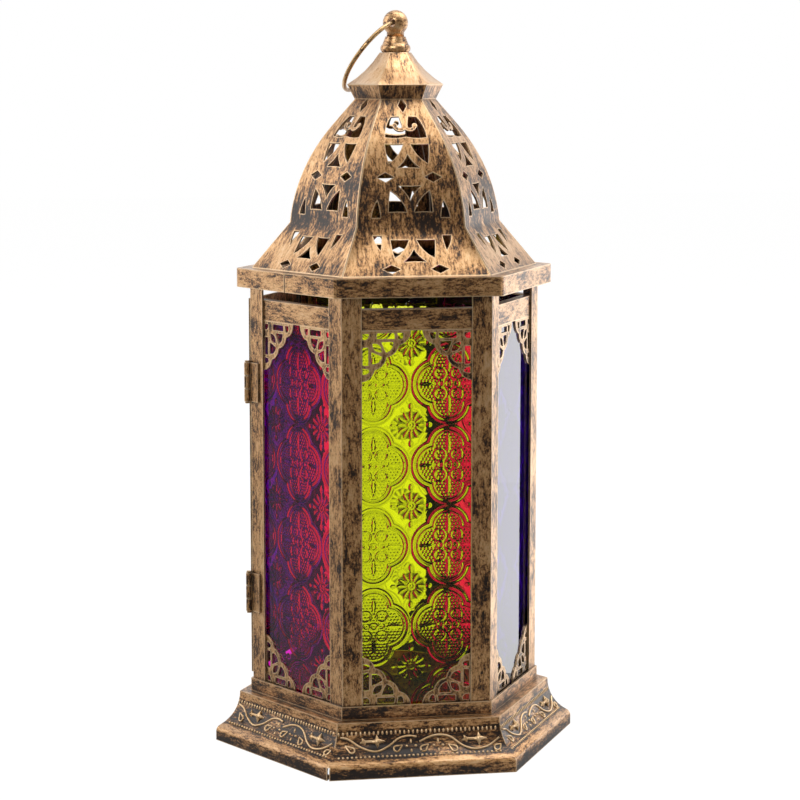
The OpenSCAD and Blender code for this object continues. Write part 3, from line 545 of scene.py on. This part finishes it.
# %% Which part gets which finish
FOLDED = ("post_", "door_frame", "door_filigree", "filigree_", "pane_clips", "door_tabs")
UPRIGHT = FOLDED + ("roof_", "cap", "latch_", "hinge_", "door_leaf")  # their grain runs up
FLAT = FOLDED + ("rim_band", "rail_", "floor_tray")  # they are shaded flat
GLASS = ("pane_back_right", "pane_back", "pane_front_left", "pane_front", "pane_front_right", "door_pane")
FINISH = {"roof_": roof_brass, "base_skirt": foot_brass, "cap": cap_brass,
          "filigree_": trim_brass, "door_filigree": trim_brass,
          "finial_collar": cast_brass, "finial_ball": cast_brass, "candle_cup": cast_brass,
          "ring_handle": wire_brass, "hinge_pin": wire_brass, "latch_rivet": wire_brass,
          "finial_nut": wire_brass}

# %% Dress each metal part
SHARP = math.radians(24)  # a bend over this keeps a crisp edge
WELD = 0.002 * MM  # corners nearer to each other than this are one


def dressed(node):
    """A copy of a metal CAD part with its finish and grain map, which replaces it."""
    mesh = NODES[node].data.copy()
    mesh.name = "dressed_" + node
    work = bmesh.new()
    work.from_mesh(mesh)
    bmesh.ops.remove_doubles(work, verts=work.verts, dist=WELD)
    work.to_mesh(mesh)
    work.free()
    mesh.materials.clear()
    mesh.materials.append(next((FINISH[key] for key in FINISH if node.startswith(key)), sheet_brass))
    mesh.polygons.foreach_set("material_index", [0] * len(mesh.polygons))
    if node.startswith(FLAT):
        mesh.shade_flat()
    else:
        mesh.shade_smooth()
        mesh.set_sharp_from_angle(angle=SHARP)
    grain_map(mesh, node.startswith(UPRIGHT))
    rows = swept_normals(mesh) if node.startswith("roof_") else 0
    piece = put("dressed_" + node, mesh)
    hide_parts(node)
    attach(piece, NODES[node]["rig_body"])
    return piece, rows


total = 0
for node in sorted(NODES):
    if node in GLASS:
        continue
    piece, rows = dressed(node)
    total += len(piece.data.polygons)
    if rows:
        print(node, "swept over", rows, "rows")
print("dressed metal", total, "triangles")

# %% [markdown]
# ## The foot's pressed ornament
# The strip of the foot is rolled between patterned wheels before it is bent: a row of short bars, a
# vine with stars, drops and dot crosses under it, and a row of beads. On the real object these
# stand a third of a millimetre proud. They could be painted as bump, but the edge of light on each
# one is what the eye sees, so they are geometry. Each mark is drawn on the flat strip, in
# millimetres along a side and down the profile, and laid onto the curved foot. Geometry Nodes then
# turn the lines into round cords half sunk in the sheet, and put a bead on every point.

# %% The foot's profile, and a way to lay the flat strip onto it
# The hollow is an arc, given at the foot's corners; PROFILE_OUT is its distance at the flat sides.
COVE_R, COVE_CORNER, COVE_Z = 16.02, 81.22, 20.5
COVE_TURN = 62
PROFILE_STEPS = 60
angles = np.radians(np.linspace(180, 180 + COVE_TURN, PROFILE_STEPS))
PROFILE_OUT = (COVE_CORNER + COVE_R * np.cos(angles)) * math.cos(math.pi / SIDES)
PROFILE_UP = COVE_Z + COVE_R * np.sin(angles)
PROFILE_DOWN = np.concatenate([[0], np.cumsum(np.hypot(np.diff(PROFILE_OUT), np.diff(PROFILE_UP)))])
SLOPE_STEP = 0.1
print("cove length", round(float(PROFILE_DOWN[-1]), 2), "mm")


def on_foot(side, along, down, lift):
    """A point of the strip on one side, lifted off the sheet by lift millimetres, in metres, and the
    way down the slope there."""
    out, up = np.interp(down, PROFILE_DOWN, PROFILE_OUT), np.interp(down, PROFILE_DOWN, PROFILE_UP)
    step_out = np.interp(down + SLOPE_STEP, PROFILE_DOWN, PROFILE_OUT) - out
    step_up = np.interp(down + SLOPE_STEP, PROFILE_DOWN, PROFILE_UP) - up
    size = math.hypot(step_out, step_up)
    out, up = out - step_up / size * lift, up + step_out / size * lift
    turn = (side + 0.5) * FACE_TURN
    ahead_x, ahead_y = math.cos(turn), math.sin(turn)
    place = Vector((out * ahead_x - along * ahead_y, out * ahead_y + along * ahead_x, up)) * MM
    return place, Vector((step_out * ahead_x, step_out * ahead_y, step_up)).normalized()


# %% The marks on the flat strip
# Millimetres along the side, from its middle, and down the profile. Each side carries two lengths of
# vine, with a star in each bow.
VINES = (((-31.6, 5.6), (-28.3, 6.5), (-23.7, 9.8), (-18.1, 11.8), (-13.1, 10.1), (-8.5, 6.9),
          (-4.6, 6.0), (-1.2, 6.5)),
         ((-0.1, 8.5), (4.1, 6.7), (8.1, 6.1), (12.4, 7.1), (17.0, 10.7), (21.7, 12.5),
          (27.2, 11.5), (32.0, 8.2)))
STARS = ((-17.0, 7.7), (23.8, 8.3))
DROPS = (((-27.4, 10.9), (-29.9, 8.8)), ((-9.4, 11.0), (-7.0, 9.6)), ((1.3, 11.3), (3.4, 9.6)),
         ((13.7, 11.9), (11.4, 10.0)), ((30.9, 12.3), (32.6, 10.9)))
CROSSES = ((-3.55, 10.0), (7.35, 10.2))
VINE_STEPS = 6
VINE_GIRTH, DROP_GIRTH, ARM_GIRTH, STEM_GIRTH = 0.44, 0.38, 1.3, 0.6
TIP_GIRTH, LEAF_TIP = 0.12, 0.2
# One star: its two arms, its stem, and two leaves on the stem, each with its half thicknesses.
STAR_STROKES = (([(-3.3, 0), (0, 0), (3.3, 0)], [TIP_GIRTH, ARM_GIRTH, TIP_GIRTH]),
                ([(0, -2.6), (0, 0), (0, 2.6)], [TIP_GIRTH, ARM_GIRTH, TIP_GIRTH]),
                ([(-5.2, -0.1), (0, 0)], [STEM_GIRTH, STEM_GIRTH]),
                ([(-6.9, 0.3), (-5.0, -0.1)], [LEAF_TIP, ARM_GIRTH * 0.8]),
                ([(-6.0, -1.5), (-5.1, 0), (-4.9, 1.3)], [LEAF_TIP, ARM_GIRTH * 0.7, 0.15]))
DROP_R, DROP_OPEN, DROP_STEPS = 1.2, 50, 11
# One dot cross: where its four dots lie, and their half widths and half lengths.
CROSS_DOTS = ((0, -1.9, 0.5, 1.0), (0, 1.9, 0.5, 0.8), (-1.8, 0, 0.7, 0.55), (1.8, 0, 0.7, 0.55))
BAR_PITCH, BAR_ROW, BAR_WIDE, BAR_TALL = 1.75, 4.4, 0.48, 0.9
DOT_PITCH, DOT_ROW, DOT_SIZE = 1.75, 14.0, 0.56
ROW_HALF, DOT_ROW_MORE = 32.2, 0.6  # half the length of the row of bars, and how much longer the dots'


def smooth(points, per_span):
    """Points on a smooth curve through the given ones."""
    spots = np.array([points[0], *points, points[-1]], float)
    made = []
    for a, b, c, d in zip(spots, spots[1:], spots[2:], spots[3:]):
        for share in np.arange(per_span) / per_span:
            made.append(0.5 * (2 * b + (c - a) * share + (2 * a - 5 * b + 4 * c - d) * share ** 2
                               + (3 * b - a - 3 * c + d) * share ** 3))
    return made + [spots[-1]]


def strokes():
    """Every line on one side: its points and its half thickness at each."""
    for vine in VINES:
        points = smooth(vine, VINE_STEPS)
        yield points, [VINE_GIRTH] * len(points)
    for x, y in STARS:
        for line, girths in STAR_STROKES:
            yield [(x + dx, y + dy) for dx, dy in line], girths
    for (x, y), tip in DROPS:
        way = math.atan2(tip[1] - y, tip[0] - x)
        ring = [(x + DROP_R * math.cos(way + a), y + DROP_R * math.sin(way + a))
                for a in np.radians(np.linspace(DROP_OPEN, 360 - DROP_OPEN, DROP_STEPS))]
        yield [tip, *ring, tip], [LEAF_TIP] + [DROP_GIRTH] * DROP_STEPS + [LEAF_TIP]


def beads():
    """Every bead on one side: its place, its half width and its half length down the slope."""
    for x in np.arange(-ROW_HALF, ROW_HALF + 0.1, BAR_PITCH):
        yield x, BAR_ROW, BAR_WIDE, BAR_TALL
    for x in np.arange(-ROW_HALF - DOT_ROW_MORE, ROW_HALF + DOT_ROW_MORE + 0.1, DOT_PITCH):
        yield x, DOT_ROW, DOT_SIZE, DOT_SIZE
    for x, y in CROSSES:
        for dx, dy, wide, tall in CROSS_DOTS:
            yield x + dx, y + dy, wide, tall


print("strokes", len(list(strokes())), "beads", len(list(beads())), "on each side")

# %% Two node trees: cords along lines, and beads on points


def new_tree(name, inputs):
    """A geometry tree with one mesh in and out, and named inputs; returns it with its ends."""
    tree = bpy.data.node_groups.new(name, "GeometryNodeTree")
    tree.interface.new_socket("Marks", in_out="INPUT", socket_type="NodeSocketGeometry")
    for label, kind, value in inputs:
        socket = tree.interface.new_socket(label, in_out="INPUT", socket_type=kind)
        if value is not None:
            socket.default_value = value
    tree.interface.new_socket("Mesh", in_out="OUTPUT", socket_type="NodeSocketGeometry")
    return tree, add(tree, "NodeGroupInput"), add(tree, "NodeGroupOutput")


CORD_SIDES, BALL_SEGMENTS, BALL_RINGS = 8, 8, 5  # as coarse as marks this small allow

# Lines become round cords. Each point's girth is its half thickness.
cords, start, end = new_tree("pressed cords", (("Girth scale", "NodeSocketFloat", 1.0),
                                               ("Sides of a cord", "NodeSocketInt", CORD_SIDES),
                                               ("Finish", "NodeSocketMaterial", None)))
girth = add(cords, "GeometryNodeInputNamedAttribute", {}, {"Name": "girth"}, data_type="FLOAT")
scaled = add(cords, "ShaderNodeMath", {0: girth, 1: start.outputs["Girth scale"]}, operation="MULTIPLY")
lines = add(cords, "GeometryNodeMeshToCurve", {"Mesh": start.outputs["Marks"]})
ring = add(cords, "GeometryNodeCurvePrimitiveCircle", {"Resolution": start.outputs["Sides of a cord"]},
           {"Radius": 1.0})
tubes = add(cords, "GeometryNodeCurveToMesh",
            {"Curve": lines, "Profile Curve": ring, "Scale": scaled},
            {"Fill Caps": True})
soft = add(cords, "GeometryNodeSetShadeSmooth", {0: tubes})
whole = add(cords, "GeometryNodeRealizeInstances", {"Geometry": soft})
coated = add(cords, "GeometryNodeSetMaterial", {"Geometry": whole, "Material": start.outputs["Finish"]})
cords.links.new(coated.outputs[0], end.inputs[0])

# Points become balls, stretched to their own size and turned down the slope.
balls, start, end = new_tree("pressed beads", (("Bead scale", "NodeSocketFloat", 1.0),
                                                   ("Finish", "NodeSocketMaterial", None)))
slope = add(balls, "GeometryNodeInputNamedAttribute", {}, {"Name": "slope"}, data_type="FLOAT_VECTOR")
stretch = add(balls, "GeometryNodeInputNamedAttribute", {}, {"Name": "stretch"}, data_type="FLOAT_VECTOR")
sized = add(balls, "ShaderNodeVectorMath",
            {0: stretch, "Scale": start.outputs["Bead scale"]}, operation="SCALE")
ball = add(balls, "GeometryNodeMeshUVSphere", {},
           {"Segments": BALL_SEGMENTS, "Rings": BALL_RINGS, "Radius": 1.0})
turned = add(balls, "FunctionNodeAlignRotationToVector", {"Vector": slope}, axis="Z")
placed = add(balls, "GeometryNodeInstanceOnPoints",
             {"Points": start.outputs["Marks"], "Instance": ball,
              "Rotation": turned, "Scale": sized})
whole = add(balls, "GeometryNodeRealizeInstances", {"Geometry": placed})
soft = add(balls, "GeometryNodeSetShadeSmooth", {0: whole})
coated = add(balls, "GeometryNodeSetMaterial", {"Geometry": soft, "Material": start.outputs["Finish"]})
balls.links.new(coated.outputs[0], end.inputs[0])
print("trees", cords.name, len(cords.nodes), "and", balls.name, len(balls.nodes))

# %% Grow the marks into plain pieces
CORD_RISE = 0.45  # the share of its half thickness by which a cord's middle stands over the sheet
SUNK = 0.12  # millimetres by which every mark is pushed back in
# The brush touches only the high parts of the relief, so the marks stand out pale on a dark hollow.
raised_brass = brass("dry-brushed antique brass, raised ornament", "#DDB580", "#A67C4C", GROUND, 0.4,
                     round_part=True)


def grown(name, mesh, tree, body, settings):
    """Runs a node tree on a mesh and keeps the result as a plain piece on a body."""
    piece = put(name, mesh)
    growth = piece.modifiers.new(tree.name, "NODES")
    growth.node_group = tree
    for item in tree.interface.items_tree:
        if item.item_type == "SOCKET" and item.in_out == "INPUT" and item.name in settings:
            growth[item.identifier] = settings[item.name]
    graph = bpy.context.evaluated_depsgraph_get()
    plain = bpy.data.meshes.new_from_object(piece.evaluated_get(graph))
    piece.modifiers.clear()
    piece.data = plain
    for label in [a.name for a in plain.attributes if a.name in ("girth", "slope", "stretch")]:
        plain.attributes.remove(plain.attributes[label])
    grain_map(plain, False)
    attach(piece, body)
    print(name, len(plain.polygons), "faces")


# %% The vine, its stars and its drops
points, edges, girths = [], [], []
for side in range(SIDES):
    for line, sizes in strokes():
        first = len(points)
        points += [on_foot(side, x, y, CORD_RISE * size - SUNK)[0] for (x, y), size in zip(line, sizes)]
        edges += [(first + i, first + i + 1) for i in range(len(line) - 1)]
        girths += [size * MM for size in sizes]
line_mesh = bpy.data.meshes.new("foot_ornament_lines")
line_mesh.from_pydata(points, edges, [])
line_mesh.attributes.new("girth", "FLOAT", "POINT").data.foreach_set("value", girths)
grown("foot_vine", line_mesh, cords, NODES["base_skirt"]["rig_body"], {"Finish": raised_brass})

# %% The bars, the beads and the dot crosses
points, slopes, sizes = [], [], []
for side in range(SIDES):
    for x, y, wide, tall in beads():
        place, way = on_foot(side, x, y, -SUNK)
        points.append(place)
        slopes += list(way)
        sizes += [wide * MM, wide * MM, tall * MM]
bead_mesh = bpy.data.meshes.new("foot_ornament_points")
bead_mesh.from_pydata(points, [], [])
bead_mesh.attributes.new("slope", "FLOAT_VECTOR", "POINT").data.foreach_set("vector", slopes)
bead_mesh.attributes.new("stretch", "FLOAT_VECTOR", "POINT").data.foreach_set("vector", sizes)
grown("foot_beads", bead_mesh, balls, NODES["base_skirt"]["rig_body"], {"Finish": raised_brass})

# %% [markdown]
# ## The glass
# Each pane is rolled glass, 3 mm thick. The outside is flat and shines, and the inside is pressed
# with four-lobed shapes, daisies and fine beads. Light that comes through is bent by that relief,
# which is what draws the pattern, so the relief is real geometry: a fine grid whose points are
# moved by a height worked out from distances to the shapes. The colour is a stain. Blender tints
# light where it crosses a face, so both faces are stained, and two panes behind each other
# multiply. On the pressed side the stain has dried thick in the grooves, and every slope of the
# relief is darkened too, a painted shade for the dark line the bent light draws beside a ridge.

# %% Sizes of the pattern in millimetres, and the shapes it is drawn with
PITCH_ACROSS, PITCH_UP = 29.8, 32.2  # from one four-lobed shape to the next
LOBE_SIDE, LOBE_SIDE_R = 5.05, 9.95  # how far out the side lobes lie, and their radius
LOBE_TOP, LOBE_TOP_R = 7.6, 8.5  # the same of the lobes at the top and bottom
RELIEF = 0.5  # the depth set aside for the pattern
BEAD_PITCH, BEAD_ROW, BEAD_R = 1.4, 1.4 * 0.87, 0.46
BEADS_FROM = 3.5  # how deep inside a shape the beads begin
PETALS = 12


def swell(distance, middle, half):
    """A smooth ridge, 1 at its middle and 0 at half to each side."""
    return 0.5 + 0.5 * np.cos(math.pi * np.clip(np.abs(distance - middle) / half, 0, 1))


def leaf(u, v, length, width):
    """A pointed spindle from the origin outwards along u, with a rounded back."""
    share = np.clip(u / length, 0, 1)
    room = width * np.sin(math.pi * share) ** 0.7 + 1e-6
    return np.where((u > 0) & (u < length), np.clip(1 - (v / room) ** 2, 0, 1), 0) ** 0.8


def rises(value, start, reach):
    """0 up to start, then evenly up to 1 over reach."""
    return np.clip((value - start) / reach, 0, 1)


print("pattern repeats every", PITCH_ACROSS, "mm across and", PITCH_UP, "mm up")

# %% Heights of the pressed pattern


def lobed(u, v, depth):
    """The four-lobed shape: height, and how much stain pools. Depth is the distance inside its edge."""
    rim = 0.48 * np.minimum(1, 1.35 * swell(depth, 1.0, 1.05))
    rim = np.maximum(rim, 0.36 * swell(depth, 2.75, 0.48))
    row = np.round(v / BEAD_ROW)
    bead = np.hypot((u + row % 2 * BEAD_PITCH / 2 + BEAD_PITCH / 2) % BEAD_PITCH - BEAD_PITCH / 2,
                    v - row * BEAD_ROW)
    beads = 0.36 * np.clip(1 - (bead / BEAD_R) ** 2, 0, 1) * (depth > BEADS_FROM)
    motif = 0.46 * leaf(v - 4.9, u, 6.8, 0.9)  # up and down
    motif = np.maximum(motif, 0.42 * leaf(u - 5.2, v, 6.0, 1.15))  # to each side
    motif = np.maximum(motif, 0.44 * swell(np.hypot(u - 3.3, v - 4.0), 2.2, 0.58))  # four rings
    motif = np.maximum(motif, 0.40 * swell(np.hypot(u, v), 1.3, 0.6))  # the ring in the middle
    motif = np.maximum(motif, 0.40 * swell(np.hypot(u - 3.1, v), 1.1, 0.55))  # a ring at each side
    pits = 0.75 * swell(bead, 0.0, 0.62) * (depth > BEADS_FROM) * (motif < 0.03)
    pool = np.maximum(pits, 0.7 * swell(depth, 2.12, 0.4))
    return np.maximum(rim, np.where(motif > 0.03, motif, beads)), pool


def daisy(a, b):
    """The daisy between four shapes, measured from its middle: height, and how much stain pools."""
    radius, turn = np.hypot(a, b), np.arctan2(b, a)
    petal = np.abs((turn + math.pi / PETALS) % (2 * math.pi / PETALS) - math.pi / PETALS) * radius
    height = 0.46 * leaf(radius - 1.8, petal, 4.0, 0.78)
    height = np.maximum(height, 0.30 * swell(radius, 1.25, 0.55))  # the ring round its eye
    height = np.maximum(height, 0.42 * leaf(b - 6.1, a, 2.6, 0.9))  # a bud above and below
    height = np.maximum(height, 0.36 * leaf(a - 6.1, b, 2.0, 0.8))  # a bud to each side
    height = np.maximum(height, 0.30 * swell(radius, 0.0, 0.7))  # the eye
    slit = rises(petal, 0.5, 0.25) * rises(radius, 2.4, 0.5) * rises(-radius, -5.7, 0.4)
    return height, np.maximum(slit, rises(petal, 0.2, 0.15) * swell(radius, 2.0, 0.5))


def pressed(across, up):
    """Height of the pattern, and 0 to 1 for how much stain pools. Across and up are measured from the
    middle of one four-lobed shape."""
    u = np.abs((across + PITCH_ACROSS / 2) % PITCH_ACROSS - PITCH_ACROSS / 2)
    v = np.abs((up + PITCH_UP / 2) % PITCH_UP - PITCH_UP / 2)
    depth = -np.minimum(np.hypot(u - LOBE_SIDE, v) - LOBE_SIDE_R, np.hypot(u, v - LOBE_TOP) - LOBE_TOP_R)
    height, pool = lobed(u, v, depth)
    daisy_height, daisy_pool = daisy(PITCH_ACROSS / 2 - u, PITCH_UP / 2 - v)
    outside = depth < 0
    return (np.where(outside, np.maximum(height, daisy_height), height),
            np.where(outside, daisy_pool, pool))


sample = pressed(*np.meshgrid(np.arange(0, 15, 0.1), np.arange(0, 16, 0.1)))[0]
print("highest relief", round(float(sample.max()), 2), "mm")

# %% The stained glass
DARKEST_STAIN_AND_SHADE = 0.07  # how much light the thickest stain and the fullest painted shade let through, as a share of the thin stain
STEEPEST = 1.25  # millimetres of rise in a millimetre, at which a slope gets the full painted shade
WAVER, WAVER_LOSS = 50 / 3, 0.12  # millimetres from one thin place to the next, and how much darker
POLISH, GLASS_IOR = 0.004, 1.52  # a fire-polished face is nearly a mirror; the IOR of window glass


def glass(name, stain):
    """Soda-lime window glass with a stain, polished outside. Its colour drifts a little, as a hand-laid
    stain does, and darkens by the attribute steep: thick stain in the grooves, and painted shade on the
    slopes."""
    made, tree, out = new_material(name)
    place = add(tree, "ShaderNodeTexCoord")
    waver = add(tree, "ShaderNodeTexNoise", {"Vector": place.outputs["Object"]},
                {"Scale": 1 / (WAVER * MM), "Detail": 2.0})
    tone = add(tree, "ShaderNodeMix", {0: waver.outputs["Fac"]},
               {6: linear(stain), 7: darker(stain, 1 - WAVER_LOSS)}, data_type="RGBA")
    steep = add(tree, "ShaderNodeAttribute", attribute_name="steep", attribute_type="GEOMETRY")
    # Darker by steep: thick stain in the grooves, and painted shade on the slopes.
    pooled_and_shaded = add(tree, "ShaderNodeMix", {0: steep.outputs["Fac"], 6: tone.outputs[2]},
                 {7: darker(stain, DARKEST_STAIN_AND_SHADE)}, data_type="RGBA")
    pane = add(tree, "ShaderNodeBsdfPrincipled", {"Base Color": pooled_and_shaded.outputs[2]},
               {"Roughness": POLISH, "IOR": GLASS_IOR, "Transmission Weight": 1.0})
    tree.links.new(pane.outputs[0], out.inputs["Surface"])
    return made


# Lime lets nearly all light through, so it glows; through it the magenta at the back looks red.
lime_glass = glass("stained rolled glass, lime", "#F8FF4A")
# Blue lets little through, so the right pane shows mostly what it mirrors.
blue_glass = glass("stained rolled glass, blue", "#33289C")
# Magenta looks wine red where the blue door lies behind it.
magenta_glass = glass("stained rolled glass, magenta", "#FF18DE")
print("stained glass, 3 colours, IOR", GLASS_IOR)

# %% A pane's grid
CELL = 0.32  # millimetres between the points that carry the relief
RIM = 1.2  # the width of the edge over which the relief runs out
# For each pane: its glass, the side it stands on, and where its pattern starts, across and up.
PANES = {"pane_back_right": (magenta_glass, 0, 0.0, 0.0), "pane_back": (lime_glass, 1, 4.0, 9.0),
         "door_pane": (blue_glass, 2, 0.0, 0.0), "pane_front_left": (magenta_glass, 3, -1.1, 119.1),
         "pane_front": (lime_glass, 4, 13.0, 121.3), "pane_front_right": (blue_glass, 5, 3.0, 121.3)}


def border(grid):
    """The values round the edge of a grid, from its first corner."""
    return np.concatenate([grid[0], grid[1:, -1], grid[-1, -2::-1], grid[-2:0:-1, 0]])


def outer_strips(outer, columns, rows):
    """Faces that close the flat outside of a pane between the points round its edge."""
    right, left = outer[columns:columns + rows - 2], outer[:2 * columns + rows - 3:-1]
    last = outer[columns + rows - 2:columns * 2 + rows - 2]
    strips = [[*outer[:columns], right[0], left[0]]]
    strips += [[left[i], right[i], right[i + 1], left[i + 1]] for i in range(rows - 3)]
    strips += [[left[-1], right[-1], *last]]
    return [[int(number) for number in strip] for strip in strips]


def pane_mesh(name, turn, spots, across, up):
    """A closed mesh whose outside is the CAD pane's and whose inside carries the pattern."""
    ahead_x, ahead_y = math.cos(turn), math.sin(turn)
    out = spots[:, 0] * ahead_x + spots[:, 1] * ahead_y
    along = spots[:, 1] * ahead_x - spots[:, 0] * ahead_y
    t0, t1, z0, z1 = along.min(), along.max(), spots[:, 2].min(), spots[:, 2].max()
    columns, rows = int((t1 - t0) / CELL) + 1, int((z1 - z0) / CELL) + 1
    t, z = np.meshgrid(np.linspace(t0, t1, columns), np.linspace(z0, z1, rows))
    margin = np.minimum(np.minimum(t - t0, t1 - t), np.minimum(z - z0, z1 - z))
    height, pool = pressed(t - across, z - up)
    height = height * np.clip(margin / RIM, 0, 1)
    inner = out.min() + RELIEF - height
    rim_t, rim_z = border(t), border(z)
    all_out = np.concatenate([inner.ravel(), np.full(len(rim_t), out.max())])
    all_t, all_z = np.concatenate([t.ravel(), rim_t]), np.concatenate([z.ravel(), rim_z])
    points = np.stack([all_out * ahead_x - all_t * ahead_y,
                       all_out * ahead_y + all_t * ahead_x, all_z], axis=1) * MM
    number = np.arange(rows * columns).reshape(rows, columns)
    ring = border(number)
    outer = rows * columns + np.arange(len(ring))
    cells = np.stack([number[:-1, :-1], number[1:, :-1], number[1:, 1:], number[:-1, 1:]], axis=-1)
    walls = np.stack([ring, np.roll(ring, -1), np.roll(outer, -1), outer], axis=1)
    faces = cells.reshape(-1, 4).tolist() + walls.tolist() + outer_strips(outer, columns, rows)
    mesh = bpy.data.meshes.new(name)
    mesh.from_pydata(points.tolist(), [], faces)
    rise_z, rise_t = np.gradient(height, (z1 - z0) / (rows - 1), (t1 - t0) / (columns - 1))
    # steep: thick stain in the grooves, and a painted shade that grows with the slope.
    steep = np.maximum(np.clip(np.hypot(rise_z, rise_t) / STEEPEST, 0, 1), pool)
    steep = np.concatenate([steep.ravel(), np.zeros(len(rim_t))]).astype(np.float32)
    mesh.attributes.new("steep", "FLOAT", "POINT").data.foreach_set("value", steep)
    return mesh


print("a grid of", CELL, "mm carries", RELIEF, "mm of relief")

# %% The six panes
PANE_SHARP = math.radians(60)  # the pane's own edges stay sharp, and its relief is smooth


def pane(node, finish, side, across, up):
    """The pressed pane that stands for a CAD pane."""
    turn = (side + 0.5) * FACE_TURN
    mesh = pane_mesh("pressed_" + node, turn, arrays(NODES[node].data)[0], across, up)
    mesh.shade_smooth()
    mesh.set_sharp_from_angle(angle=PANE_SHARP)
    mesh.materials.append(finish)
    made = put("pressed_" + node, mesh)
    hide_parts(node)
    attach(made, NODES[node]["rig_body"])
    work = bmesh.new()
    work.from_mesh(mesh)
    print(node, len(mesh.polygons), "faces, open edges", sum(not e.is_manifold for e in work.edges),
          "volume", round(work.calc_volume(signed=True) * 1e9, 1), "mm3")
    work.free()


for node, (finish, side, across, up) in PANES.items():
    pane(node, finish, side, across, up)
